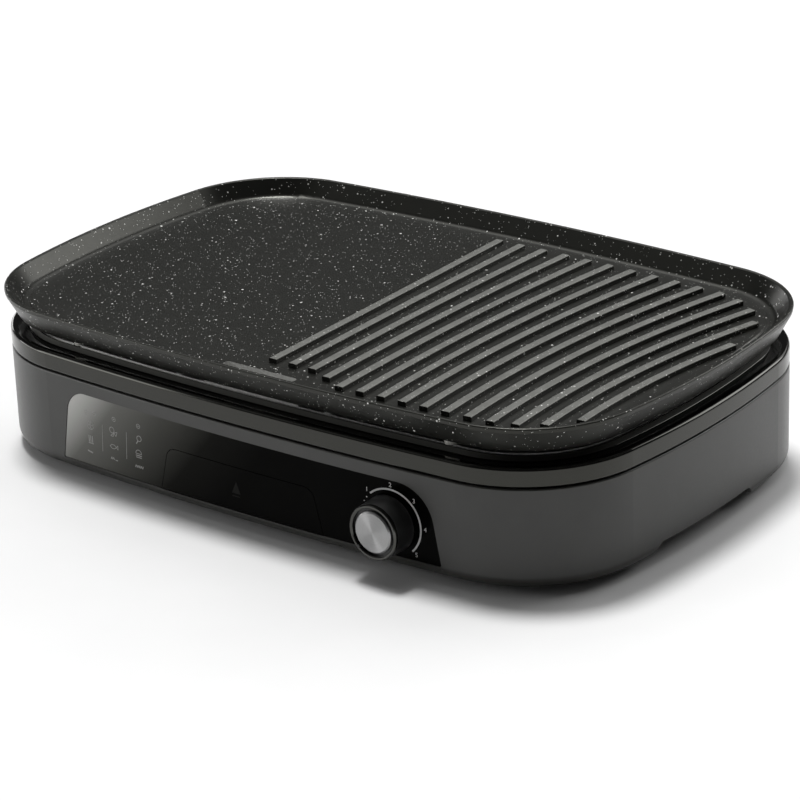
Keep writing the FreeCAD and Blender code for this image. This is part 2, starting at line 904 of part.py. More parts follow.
def drawer_front():
    """Front of the drawer, flush with the panel, with two bosses behind it."""
    front = -case_half_depth - 5
    inner = panel_sink + drawer_front_thickness
    layer = wall_layer(panel_sink, inner, case_bottom, case_top)
    plate = front_prism(drawer_corners(0.0), front, 0).common(layer)
    back = tray_front_y()
    z = drawer_screw_z()
    bosses = []
    for x in drawer_screw_places():
        start = case_front_y(x, inner - 1)
        bosses.append(rod(x, start, z, boss_diameter, back - start, (0, 1, 0)))
    piece = fuse_all([plate] + bosses)
    depth = drawer_screw_length - tray_wall + 0.5
    for x in drawer_screw_places():
        piece = piece.cut(rod(x, back - depth, z, screw_diameter, depth + 1, (0, 1, 0)))
    return piece


def drawer_screw_places():
    """Two screws between tray and drawer front."""
    return (-drawer_screw_x, drawer_screw_x)


def drawer_screw_z():
    """Height of the drawer screws."""
    return (tray_bottom + tray_top) / 2


def tray_front_y():
    """Outer face of the tray's front wall."""
    return case_front_y(0.0, panel_sink + drawer_front_thickness) + tray_front_space


def tray_back_y():
    """Outer face of the tray's back wall."""
    return tray_front_y() + tray_length


def drip_tray():
    """Open tray that catches the drained fat."""
    y0, y1 = tray_front_y(), tray_back_y()
    outer = box(-tray_half_width, tray_half_width, y0, y1, tray_bottom, tray_top)
    upright = [e for e in outer.Edges if e.BoundBox.ZLength > 5]
    outer = outer.makeFillet(tray_corner, upright)
    w = tray_wall
    inner = box(-tray_half_width + w, tray_half_width - w, y0 + w, y1 - w,
                tray_bottom + w, tray_top + 5)
    inner_edges = [e for e in inner.Edges if e.BoundBox.ZLength > 5]
    inner = inner.makeFillet(tray_corner - w, inner_edges)
    low = [e for e in inner.Edges if e.BoundBox.ZMax < tray_bottom + w + 0.01]
    inner = inner.makeFillet(3.0, low)
    tray = outer.cut(inner)
    for x in drawer_screw_places():
        tray = tray.cut(rod(x, y0 - 1, drawer_screw_z(), screw_diameter + screw_hole_gap,
                            w + 2, (0, 1, 0)))
    return tray


def drawer_front_screws():
    """Screws from inside the tray into the drawer front."""
    y = tray_front_y() + tray_wall
    return group([pan_head_screw(x, y, drawer_screw_z(), drawer_screw_length, (0, -1, 0))
                  for x in drawer_screw_places()])


def drawer_catch():
    """Steel tongue on the back of the tray for the latch."""
    y = tray_back_y()
    z = drawer_screw_z()
    plate = box(-catch_half_width, catch_half_width, y, y + catch_plate,
                z - catch_half_height, z + catch_half_height)
    wide, high = catch_tongue_width / 2, catch_tongue_thickness / 2
    tongue = box(-wide, wide, y, y + catch_plate + catch_reach, z - high, z + high)
    return fuse_all([plate, tongue])


def bay_back_y():
    """Inner face of the bay's rear wall."""
    return tray_back_y() + bay_rear_space


def bay_front_y():
    """Front end of the bay, behind the housing's rounded foot."""
    return case_front_y(0.0, bay_front_inset)


def drawer_bay():
    """Sleeve that guides the drawer, open at the front and under the chute."""
    y0 = bay_front_y()
    y1 = bay_back_y()
    w = bay_wall
    half = bay_inner_half
    outer = box(-half - w, half + w, y0, y1 + w, base_top, bay_roof + w)
    inner = box(-half, half, y0 - 1, y1, bay_floor_top, bay_roof)
    mouth_half = chute_half_width + bay_mouth_margin
    opening = box(-mouth_half, mouth_half, -chute_front - bay_mouth_margin,
                  -chute_back + bay_mouth_margin, bay_roof - 1, bay_roof + w + 1)
    hole = rod(0, y1 - 1, drawer_screw_z(), bay_latch_hole, w + 2, (0, 1, 0))
    bay = outer.cut(inner).cut(opening).cut(hole)
    tabs = []
    for x, y in bay_screw_places():
        side = math.copysign(1, x)
        tabs.append(box(side * (half + w / 2), x + side * bay_tab_length / 2,
                        y - bay_tab_length / 2, y + bay_tab_length / 2, base_top,
                        base_top + w))
    bay = fuse_all([bay] + tabs)
    for x, y in bay_screw_places():
        bay = bay.cut(rod(x, y, base_top - 1, screw_diameter + screw_hole_gap, w + 2))
    return bay


def bay_screw_places():
    """Four screws that hold the bay on the base plate."""
    x = bay_inner_half + bay_wall + bay_tab_length / 2
    return [(sx * x, y) for sx in (-1, 1)
            for y in (bay_screw_front, bay_screw_back)]


def drawer_runners():
    """Two low-friction strips under the tray."""
    y0 = bay_front_y() + 2
    y1 = bay_back_y() - 2
    strips = []
    for side in (-1, 1):
        x = side * runner_x
        strips.append(box(x - runner_width / 2, x + runner_width / 2, y0, y1,
                          bay_floor_top, bay_floor_top + runner_height))
    return group(strips)


def latch_y():
    """Front face of the latch's housing."""
    return bay_back_y() + bay_wall


def latch_housing():
    """Push latch behind the bay."""
    y = latch_y()
    z = drawer_screw_z()
    half = latch_half_width
    shell = box(-half, half, y, y + latch_length, base_top, z + half)
    bore = rod(0, y - 1, z, latch_bore, latch_length - 2, (0, 1, 0))
    return shell.cut(bore)


def latch_plunger():
    """Pin of the push latch, in its pressed-in place."""
    start = tray_back_y() + catch_plate + catch_reach + drawer_press_in + moving_gap
    length = latch_y() + latch_length * 0.6 - start
    return rod(0, start, drawer_screw_z(), plunger_diameter, length, (0, 1, 0))


def base_plate():
    """Bottom cover with vents, foot seats and screw holes."""
    inset = case_floor_width + base_edge_gap
    plate = outline_prism(case_arcs, inset, case_bottom, base_top)
    for x, y in base_screw_places():
        plate = plate.cut(rod(x, y, case_bottom - 1, screw_diameter + screw_hole_gap,
                              base_thickness + 2))
        plate = plate.cut(rod(x, y, case_bottom - 1, screw_head + 0.6,
                              1 + base_screw_recess))
    for x, y in bay_screw_places():
        depth = bay_screw_length - bay_wall + 0.3
        plate = plate.cut(rod(x, y, base_top - depth, screw_diameter, depth + 1))
    for x, y in foot_places():
        plate = plate.cut(rod(x, y, case_bottom - 1, foot_diameter + seat_gap, 1 + foot_sink))
        plate = plate.cut(rod(x, y, case_bottom - 1, foot_stem_hole, base_thickness + 2))
    for side in (-1, 1):
        for i in range(vent_rows):
            y = (i - (vent_rows - 1) / 2) * vent_pitch
            x = side * vent_x
            vent = box(x - vent_length / 2, x + vent_length / 2, y - vent_width / 2,
                       y + vent_width / 2, case_bottom - 1, base_top + 1)
            upright = [e for e in vent.Edges if e.BoundBox.ZLength > 3]
            plate = plate.cut(vent.makeFillet(vent_width * 0.45, upright))
    return plate


def foot_places():
    """Centres of the four feet."""
    x = case_half_width - foot_from_end
    y = case_half_depth - foot_from_side
    return [(sx * x, sy * y) for sx in (-1, 1) for sy in (-1, 1)]


def rubber_feet():
    """Four feet pressed into the base plate."""
    feet = []
    for x, y in foot_places():
        pad = rod(x, y, 0, foot_diameter, case_bottom + foot_sink)
        edge = min(pad.Edges, key=lambda e: e.CenterOfMass.z)
        pad = pad.makeFillet(foot_edge_radius, [edge])
        stem = rod(x, y, case_bottom, foot_stem, base_thickness)
        barb = Part.makeCone(foot_barb / 2, foot_barb_tip / 2, foot_barb_height,
                             Vector(x, y, base_top))
        feet.append(fuse_all([pad, stem, barb]))
    return group(feet)


def base_screws():
    """Screws that hold the base plate to the housing."""
    z = case_bottom + base_screw_recess
    return group([pan_head_screw(x, y, z, base_screw_length, (0, 0, 1))
                  for x, y in base_screw_places()])


def bay_screws():
    """Screws that hold the bay to the base plate, from above."""
    z = base_top + bay_wall
    return group([pan_head_screw(x, y, z, bay_screw_length, (0, 0, -1))
                  for x, y in bay_screw_places()])


def frame_screws():
    """Screws that pull the frame onto the housing, from below."""
    z = frame_boss_bottom() - frame_boss_height
    return group([pan_head_screw(x, y, z, frame_screw_length, (0, 0, 1))
                  for x, y in frame_screw_places()])


def reflector_pan():
    """Pressed steel pan under the heating element, hung on the frame's shelf."""
    t = pan_thickness
    wall = pan_wall_inset
    section = [
        (pan_flange_start, pan_flange_top, 0.0),
        (wall + t, pan_flange_top, 1.4),
        (wall + t, pan_bottom + t, pan_fillet),
        (wall + pan_floor_overlap, pan_bottom + t, 0.0),
        (wall + pan_floor_overlap, pan_bottom, 0.0),
        (wall, pan_bottom, pan_fillet + t),
        (wall, frame_shelf_top, 0.6),
        (pan_flange_start, frame_shelf_top, 0.0),
    ]
    rim = swept_section(case_arcs, section)
    floor = outline_prism(case_arcs, wall + pan_floor_overlap, pan_bottom, pan_bottom + t)
    pan = fuse_all([rim, floor])
    for x, y in pan_screw_places():
        pan = pan.cut(rod(x, y, frame_shelf_top - 1, screw_diameter + screw_hole_gap, 4))
    for x, y in rest_places():
        pan = pan.cut(rod(x, y, frame_shelf_top - 1, rest_pad_diameter + 0.6, 4))
    pan = pan.cut(chute_passage(moving_gap, pan_bottom - 3, pan_flange_top + 1))
    for x, y in element_ends():
        pan = pan.cut(rod(x, y, pan_bottom - 1, bushing_body + 0.2, 4))
    pan = pan.cut(rod(earth_x, earth_y, pan_bottom - 1, screw_diameter, 4))
    return pan.cut(rod(capillary_x, sensor_y, pan_bottom - 1, capillary_diameter + 4, 4))


def pan_screws():
    """Screws through the pan's flange into the frame's shelf."""
    return group([pan_head_screw(x, y, pan_flange_top, pan_screw_length, (0, 0, -1))
                  for x, y in pan_screw_places()])


def element_ends():
    """Places where the element turns down through the pan."""
    half = element_pitch * (element_rows - 1) / 2
    return [(element_tail, -half), (element_tail, half)]


def element_path():
    """Corner points of the serpentine, from one cold end to the other."""
    half = element_pitch * (element_rows - 1) / 2
    bend = element_pitch / 2
    points = [(element_tail, -half, element_tail_bottom), (element_tail, -half, element_z)]
    for i in range(element_rows - 1):
        y = -half + i * element_pitch
        x = element_left - bend if i % 2 == 0 else element_right + bend
        points += [(x, y, element_z), (x, y + element_pitch, element_z)]
    points += [(element_tail, half, element_z), (element_tail, half, element_tail_bottom)]
    return points


def heating_element():
    """Sheathed serpentine heater, touching the underside of the plate."""
    points = [Vector(*p) for p in element_path()]
    bend = element_pitch / 2 - 0.001
    radii = [bend] * len(points)
    radii[1] = element_drop_radius
    radii[-2] = element_drop_radius
    path = Part.Wire(rounded_edges(points, radii, False))
    start = points[0]
    ring = Part.Wire(Part.makeCircle(element_radius, start, Vector(0, 0, 1)))
    return path.makePipeShell([ring], True, False)


def element_bushings():
    """Ceramic bushings that carry the element's ends through the pan."""
    bushings = []
    for x, y in element_ends():
        seat = pan_bottom + pan_thickness
        low = pan_bottom - bushing_below
        body = rod(x, y, low, bushing_body, seat - low)
        flange = rod(x, y, seat, bushing_flange, bushing_flange_height)
        bore = rod(x, y, low - 1, element_diameter + seat_gap, seat - low + 10)
        bushings.append(fuse_all([body, flange]).cut(bore))
    return group(bushings)


def element_terminals():
    """Cold pins with flat tabs at the ends of the element."""
    pins = []
    for x, y in element_ends():
        pin = rod(x, y, element_tail_bottom - pin_length, pin_diameter, pin_length)
        top = element_tail_bottom - pin_length + 1
        half = tab_width / 2
        tab = box(x - half, x + half, y - tab_thickness / 2, y + tab_thickness / 2,
                  top - tab_length, top)
        pins.append(fuse_all([pin, tab]))
    return group(pins)


def element_supports():
    """Sheet brackets that stand on the pan and cradle the element."""
    supports = []
    half = element_pitch * (element_rows - 1) / 2
    low = pan_bottom + pan_thickness
    reach = support_foot_length / 2
    wide = support_width / 2
    thick = support_leg_thickness / 2
    for x in (-support_pitch, 0.0, support_pitch):
        for y in (-half, half):
            foot = box(x - reach, x + reach, y - wide, y + wide, low,
                       low + support_foot_thickness)
            leg = box(x - thick, x + thick, y - wide, y + wide, low, element_z)
            seat = rod(x - 2, y, element_z, element_diameter + support_seat_gap, 4, (1, 0, 0))
            supports.append(fuse_all([foot, leg]).cut(seat))
    return group(supports)


def drain_chute():
    """Funnel from the plate's slot, past the pan, down to the tray."""
    bottom = bay_roof + 1.2
    half = chute_half_width
    w = chute_wall
    outer = box(-half, half, -chute_front, -chute_back, bottom, pan_flange_top)
    inner = box(-half + w, half - w, -chute_front + w, -chute_back - w,
                bottom - 1, pan_flange_top + w + 1)
    lip = box(-half - chute_lip, half + chute_lip, -chute_front - chute_lip,
              -chute_back, pan_flange_top, pan_flange_top + w)
    return fuse_all([outer, lip]).cut(inner)


def plate_rest_pads():
    """Heat-proof pads on the frame's shelf, which carry and centre the plate."""
    pads = []
    for x, y in rest_places():
        pad = rod(x, y, pad_bottom, rest_pad_diameter, pad_top - pad_bottom)
        hole = peg_diameter + rest_pad_hole_gap
        pads.append(pad.cut(rod(x, y, pad_top - peg_length - 0.6, hole, 20)))
    return group(pads)


def thermostat_front_y():
    """Front face of the thermostat's mounting plate."""
    far = knob_x + thermostat_screw_pitch / 2
    return backing_seat_y(far, boss_diameter / 2) + thermostat_standoff


def thermostat_plate_piece():
    """Steel plate that carries the thermostat on two bosses."""
    y = thermostat_front_y()
    half = thermostat_screw_pitch / 2 + thermostat_plate_margin
    high = thermostat_plate_height / 2
    plate = box(knob_x - half, knob_x + half, y, y + thermostat_plate,
                knob_z - high, knob_z + high)
    plate = plate.cut(rod(knob_x, y - 1, knob_z, shaft_diameter + 1, 5, (0, 1, 0)))
    for x in thermostat_screw_places():
        plate = plate.cut(rod(x, y - 1, knob_z, screw_diameter + screw_hole_gap, 5, (0, 1, 0)))
    return plate


def thermostat_screws():
    """Screws that hold the thermostat's plate."""
    y = thermostat_front_y() + thermostat_plate
    return group([pan_head_screw(x, y, knob_z, thermostat_screw_length, (0, -1, 0))
                  for x in thermostat_screw_places()])


def thermostat_housing():
    """Thermostat body behind the knob, with a bore for its shaft."""
    y = thermostat_front_y() + thermostat_plate
    half_w = thermostat_width / 2
    half_h = thermostat_height / 2
    body = box(knob_x - half_w, knob_x + half_w, y, y + thermostat_depth,
               knob_z - half_h, knob_z + half_h)
    along = [e for e in body.Edges if e.BoundBox.YLength > 5]
    body = body.makeFillet(thermostat_edge_radius, along)
    bore = rod(knob_x, y - 1, knob_z, shaft_diameter + 2 * shaft_bore_gap,
               thermostat_bore_depth + 1, (0, 1, 0))
    return body.cut(bore)


def thermostat_tab_places():
    """Two tabs at the back of the thermostat."""
    return (knob_x - thermostat_tab_x, knob_x + thermostat_tab_x)


def thermostat_terminals():
    """Flat tabs for the wires."""
    y = thermostat_tab_y()
    half = tab_width / 2
    return group([box(x - tab_thickness / 2, x + tab_thickness / 2, y, y + tab_length,
                      knob_z - half, knob_z + half) for x in thermostat_tab_places()])


def knob_back_y():
    """Rear edge of the knob, clear of the bowed panel."""
    near = case_front_y(knob_x - knob_base_radius, panel_sink)
    return near - knob_panel_gap


def knob_front_y():
    """Front face of the knob's ring."""
    return knob_back_y() - knob_height


def round_y(corners):
    """Solid of revolution about the knob's axis from (radius, y) corners."""
    points = [Vector(knob_x + r, y, knob_z) for r, y in corners]
    points.append(points[0])
    face = Part.Face(Part.makePolygon(points))
    return face.revolve(Vector(knob_x, 0, knob_z), Vector(0, 1, 0), 360)


def knob_mark_box(width, inner, outer, y0, y1):
    """Block on the radius that the pointer mark lies on."""
    block = box(inner, outer, y0, y1, -width / 2, width / 2)
    block.rotate(Vector(0, 0, 0), Vector(0, 1, 0), -knob_mark_angle)
    block.translate(Vector(knob_x, 0, knob_z))
    return block


def knob_body():
    """Black knob: hollow cone with a hub, seats for ring and cap, and a pointer."""
    back, front = knob_back_y(), knob_front_y()
    seat = front + knob_ring_thickness
    outer = round_y([(0, back), (knob_base_radius, back), (knob_front_radius, seat), (0, seat)])
    hollow_front = seat + knob_hollow_start
    hub = knob_hub_radius
    hollow = round_y([(hub, back + 1), (hub, hollow_front),
                      (knob_front_radius - knob_wall, hollow_front),
                      (knob_base_radius - knob_wall, back + 1)])
    bore = rod(knob_x, hollow_front, knob_z, shaft_diameter + 2 * shaft_bore_gap,
               back - hollow_front + 1, (0, 1, 0))
    flat = box(knob_x - 5, knob_x + 5, hollow_front, back + 1,
               knob_z + shaft_flat - shaft_diameter / 2 + shaft_bore_gap, knob_z + 5)
    knob = outer.cut(hollow).cut(bore.cut(flat))
    wide = knob_cap_radius + knob_well_gap
    well = round_y([(0, seat - 1), (wide, seat - 1), (wide, seat + knob_well_depth),
                    (0, seat + knob_well_depth)])
    knob = knob.cut(well)
    pointer = knob_mark_box(knob_mark_width - 0.1, knob_ring_radius - knob_ring_width,
                            knob_ring_radius, front + 0.3, seat + 0.5)
    return fuse_all([knob, pointer])


def knob_ring():
    """Bright ring round the knob's face, notched for the pointer."""
    front = knob_front_y()
    back = front + knob_ring_thickness
    outer, inner = knob_ring_radius, knob_ring_radius - knob_ring_width
    bevel = knob_ring_bevel
    ring = round_y([(inner, back), (outer, back), (outer, front + bevel),
                    (outer - bevel, front), (inner + bevel, front), (inner, front + bevel)])
    notch = knob_mark_box(knob_mark_width, 5, outer + 5, front - 1, back + 1)
    return ring.cut(notch)


def knob_cap():
    """Turned metal disc in the knob's face."""
    front = grill_front_y()
    back = front + knob_cap_thickness
    r = knob_cap_radius
    bevel = knob_cap_bevel
    return round_y([(0, back), (r, back), (r, front + bevel), (r - bevel, front), (0, front)])


def thermostat_shaft():
    """D-shaped shaft from the thermostat into the knob."""
    start = knob_front_y() + knob_ring_thickness + knob_hollow_start + 0.2
    end = thermostat_front_y() + thermostat_plate + thermostat_bore_depth - 2
    shaft = rod(knob_x, start, knob_z, shaft_diameter, end - start, (0, 1, 0))
    flat = box(knob_x - 5, knob_x + 5, start - 1, knob_back_y() + 1,
               knob_z + shaft_flat - shaft_diameter / 2, knob_z + 5)
    return shaft.cut(flat)


def sensor_bulb():
    """Sealed bulb that lies against the plate and feels its temperature."""
    z = plate_under - plate_gap - sensor_diameter / 2
    bulb = rod(sensor_x, sensor_y, z, sensor_diameter, sensor_length, (1, 0, 0))
    return bulb.makeFillet(2.0, bulb.Edges)


def sensor_clip():
    """Spring bracket that presses the bulb up from the pan."""
    z = plate_under - plate_gap - sensor_diameter / 2
    low = pan_bottom + pan_thickness
    x = sensor_x + sensor_length / 2
    reach, wide = clip_foot_length / 2, clip_foot_width / 2
    half, thick = clip_cradle_length / 2, clip_sheet / 2
    foot = box(x - reach, x + reach, sensor_y - wide, sensor_y + wide, low, low + clip_sheet)
    stem = box(x - half, x + half, sensor_y - thick, sensor_y + thick, low, z)
    cradle = rod(x - half, sensor_y, z, sensor_diameter + 2 * clip_sheet, clip_cradle_length,
                 (1, 0, 0))
    cradle = cradle.cut(box(x - half - 1, x + half + 1, sensor_y - 10, sensor_y + 10, z, z + 10))
    seat = rod(x - half - 2, sensor_y, z, sensor_diameter + support_seat_gap,
               clip_cradle_length + 4, (1, 0, 0))
    return fuse_all([foot, stem, cradle]).cut(seat)


def capillary_tube():
    """Thin tube from the bulb down through the pan to the thermostat's top."""
    z = plate_under - plate_gap - sensor_diameter / 2
    top = knob_z + thermostat_height / 2
    y_end = thermostat_front_y() + thermostat_plate + thermostat_depth / 2
    points = [(sensor_x, sensor_y, z), (capillary_x, sensor_y, z),
              (capillary_x, sensor_y, capillary_level), (knob_x, sensor_y, capillary_level),
              (knob_x, y_end, capillary_level), (knob_x, y_end, top)]
    radii = [capillary_bend] * len(points)
    radii[-2] = min(capillary_bend, (capillary_level - top) * 0.8)
    return tube_with_bends(points, radii, capillary_diameter)


def tube_with_bends(points, radii, diameter):
    """Round bar along straight runs, with its own radius at each bend."""
    vectors = [Vector(*p) for p in points]
    path = Part.Wire(rounded_edges(vectors, radii, False))
    start = vectors[0]
    ring = Part.Wire(Part.makeCircle(diameter / 2, start, vectors[1] - start))
    return path.makePipeShell([ring], True, False)


def connector_length():
    """Length of a push-on connector over a tab."""
    return tab_length + 8.0


def thermostat_tab_y():
    """Rear face of the thermostat, where its tabs start."""
    return thermostat_front_y() + thermostat_plate + thermostat_depth


def connector_places():
    """Wire ends of the four connectors: two on the thermostat, two on the element."""
    y = thermostat_tab_y() + 1 + connector_length()
    places = [(x, y, knob_z) for x in thermostat_tab_places()]
    z = element_tail_bottom - pin_length - connector_length()
    return places + [(x, y_end, z) for x, y_end in element_ends()]


def wire_connectors():
    """Push-on connectors with their sleeves, on the four tabs."""
    sleeves = []
    thick = 2.0
    wide = tab_width / 2 + 1.2
    slot = tab_thickness / 2 + 0.03
    slot_wide = tab_width / 2 + 0.05
    for x in thermostat_tab_places():
        y = thermostat_tab_y() + 1
        sleeve = box(x - thick, x + thick, y, y + connector_length(),
                     knob_z - wide, knob_z + wide)
        hole = box(x - slot, x + slot, y - 1, y + tab_length, knob_z - slot_wide,
                   knob_z + slot_wide)
        sleeves.append(sleeve.cut(hole))
    for x, y in element_ends():
        top = element_tail_bottom - pin_length
        sleeve = box(x - wide, x + wide, y - thick, y + thick, top - connector_length(), top)
        hole = box(x - slot_wide, x + slot_wide, y - slot, y + slot, top - tab_length, top + 1)
        sleeves.append(sleeve.cut(hole))
    return group(sleeves)


def terminal_block():
    """Three-pole block on the base plate."""
    half = 1.5 * block_pitch
    body = box(block_x - half, block_x + half, block_y, block_y + block_depth,
               base_top, base_top + block_height)
    for x in block_poles():
        entry = rod(x, block_y - 1, block_wire_z(), wire_diameter + seat_gap, 5, (0, 1, 0))
        back = rod(x, block_y + block_depth - block_rear_hole_depth, block_wire_z(),
                   block_rear_hole, block_rear_hole_depth + 2, (0, 1, 0))
        screw = rod(x, block_y + block_depth / 2, base_top + block_height - pole_screw_sink,
                    pole_screw_hole, pole_screw_sink + 1)
        body = body.cut(entry).cut(back).cut(screw)
    return body


def block_poles():
    """Earth, live and neutral pole."""
    return (block_x - block_pitch, block_x, block_x + block_pitch)


def block_wire_z():
    """Height of the wires in the terminal block."""
    return base_top + block_height / 2


def terminal_screws():
    """Clamping screws in the terminal block."""
    z = base_top + block_height - pole_screw_sink
    y = block_y + block_depth / 2
    half = pole_screw_slot / 2
    slot_low = z + pole_screw_length - pole_screw_slot_depth
    screws = []
    for x in block_poles():
        screw = rod(x, y, z, pole_screw_diameter, pole_screw_length)
        slot = box(x - 3, x + 3, y - half, y + half, slot_low, slot_low + 5)
        screws.append(screw.cut(slot))
    return group(screws)


def fuse_level():
    """Height of the thermal fuse, close under the pan."""
    return pan_bottom - fuse_diameter / 2 - fuse_strap


def thermal_fuse():
    """Sleeved thermal fuse under the pan."""
    fuse = rod(fuse_x, fuse_y - fuse_length / 2, fuse_level(), fuse_diameter, fuse_length,
               (0, 1, 0))
    return fuse.makeFillet(1.5, fuse.Edges)


def fuse_clip():
    """Spring clip that holds the fuse against the pan."""
    z = fuse_level()
    front = fuse_y - fuse_strap_width / 2
    back = fuse_y + fuse_strap_width / 2
    outer = rod(fuse_x, front, z, fuse_diameter + 2 * fuse_strap, fuse_strap_width, (0, 1, 0))
    plate = box(fuse_x - fuse_strap_reach, fuse_x + fuse_strap_reach / 2, front, back,
                pan_bottom - fuse_strap, pan_bottom)
    inner = rod(fuse_x, front - 1, z, fuse_diameter + 0.04, fuse_strap_width + 2, (0, 1, 0))
    half = fuse_clip_mouth / 2
    mouth = box(fuse_x - half, fuse_x + half, front - 1, back + 1, z - 10, z - 1)
    return fuse_all([outer, plate]).cut(inner).cut(mouth)


def earth_lug():
    """Ring tongue screwed under the pan, with a barrel for the earth wire."""
    low = pan_bottom - lug_thickness
    ring = rod(earth_x, earth_y, low, lug_ring, lug_thickness)
    half = lug_tongue_width / 2
    tongue = box(earth_x - half, earth_x + half, earth_y, earth_y + lug_ring, low, pan_bottom)
    barrel = rod(earth_x, earth_y + lug_barrel_start, earth_level(), lug_barrel,
                 lug_barrel_length, (0, 1, 0))
    lug = fuse_all([ring, tongue, barrel])
    lug = lug.cut(rod(earth_x, earth_y, low - 1, screw_diameter + screw_hole_gap, 5))
    return lug.cut(rod(earth_x, earth_y + lug_wire_start, earth_level(),
                       wire_diameter + seat_gap, lug_barrel_length + 2, (0, 1, 0)))


def earth_level():
    """Height of the earth lug's barrel."""
    return pan_bottom - lug_barrel / 2 - 0.5


def earth_screw():
    """Screw that holds the earth lug to the pan."""
    return pan_head_screw(earth_x, earth_y, pan_bottom - lug_thickness, earth_screw_length,
                          (0, 0, 1))


def wire(points):
    """Insulated wire along its route."""
    return tube_with_bends(points, [wire_bend] * len(points), wire_diameter)


def live_wire():
    """From the terminal block to the thermostat."""
    start_x = block_poles()[1]
    end = connector_places()[1]
    z = block_wire_z()
    return wire([(start_x, block_y + block_entry, z), (start_x, live_wire_back, z),
                 (end[0], live_wire_front, end[2]), end])


def switched_wire():
    """From the thermostat to the element's front end."""
    start = connector_places()[0]
    end = connector_places()[2]
    low = wire_low_level
    turn = start[1] + switched_wire_reach
    return wire([start, (start[0], turn, start[2]), (start[0] + switched_wire_shift, turn, low),
                 (end[0], end[1], low), end])


def neutral_wire():
    """From the terminal block to the thermal fuse."""
    start_x = block_poles()[2]
    z = block_wire_z()
    front = fuse_y - fuse_length / 2
    turn = front - 2.4 * wire_bend
    return wire([(start_x, block_y + block_entry, z), (start_x, turn, z),
                 (fuse_x, turn, fuse_level()), (fuse_x, front, fuse_level())])


def fuse_wire():
    """From the thermal fuse to the element's rear end."""
    end = connector_places()[3]
    back = fuse_y + fuse_length / 2
    turn = back + 2.2 * wire_bend
    return wire([(fuse_x, back, fuse_level()), (fuse_x, turn, fuse_level()),
                 (fuse_x, turn, wire_low_level), (end[0], end[1], wire_low_level), end])


def earth_wire():
    """From the terminal block to the lug under the pan."""
    start_x = block_poles()[0]
    z = block_wire_z()
    back = earth_y + 8
    turn = back + 2.4 * wire_bend
    return wire([(start_x, block_y + block_entry, z), (start_x, turn, z),
                 (earth_x, turn, earth_level()), (earth_x, back, earth_level())])


def cord_inlet_bushing():
    """Bushing in the rear wall, with the bore that the cord enters by."""
    outer_y = -case_front_y(inlet_x, 0.0)
    flat_y = -case_front_y(inlet_x + inlet_flange / 2, 0.0)
    flange = rod(inlet_x, flat_y - 0.5, inlet_z, inlet_flange,
                 outer_y - flat_y + 0.5 + inlet_flange_thickness, (0, 1, 0))
    rim = max(flange.Edges, key=lambda e: e.CenterOfMass.y)
    flange = flange.makeFillet(1.0, [rim])
    flange = flange.cut(outline_prism(case_arcs, 0.0, 0, case_top))
    body_back = outer_y - case_wall - inlet_inner_length
    body = rod(inlet_x, body_back, inlet_z, inlet_body, outer_y - body_back + 1, (0, 1, 0))
    bushing = fuse_all([flange, body])
    return bushing.cut(rod(inlet_x, body_back - 1, inlet_z, inlet_bore, 40, (0, 1, 0)))


def panel_screws():
    """Screws from inside into the studs of the front panel."""
    return group([pan_head_screw(x, backing_seat_y(x, screw_head / 2), z, panel_screw_length,
                                 (0, -1, 0)) for x, z in panel_screw_places()])


def knob_hub_ring():
    """Spring ring that grips the knob's hub on the shaft."""
    back = knob_back_y() - 1.5
    front = back - hub_ring_length
    inner = knob_hub_radius
    outer = inner + hub_ring_thickness
    ring = round_y([(inner, front), (outer, front), (outer, back), (inner, back)])
    half = hub_ring_gap / 2
    gap = box(knob_x - half, knob_x + half, front - 1, back + 1, knob_z, knob_z + outer + 1)
    return ring.cut(gap)


def rating_label():
    """Blank label under the base plate."""
    return box(-label_length / 2, label_length / 2, label_y - label_width / 2,
               label_y + label_width / 2, case_bottom - label_thickness, case_bottom)


def middle_shift():
    """Move back that centres the whole depth, from the knob's face to the rear rim."""
    return (-grill_front_y() - rim_half_depth) / 2


def grill_front_y():
    """Foremost point of the grill, the face of the knob's cap."""
    return knob_front_y() - knob_cap_proud


def export(name, shape):
    """Write one node, moved so that the origin lies under the middle of the whole."""
    shape.translate(Vector(0, middle_shift(), 0))
    shape.exportStep("parts/" + name + ".step")


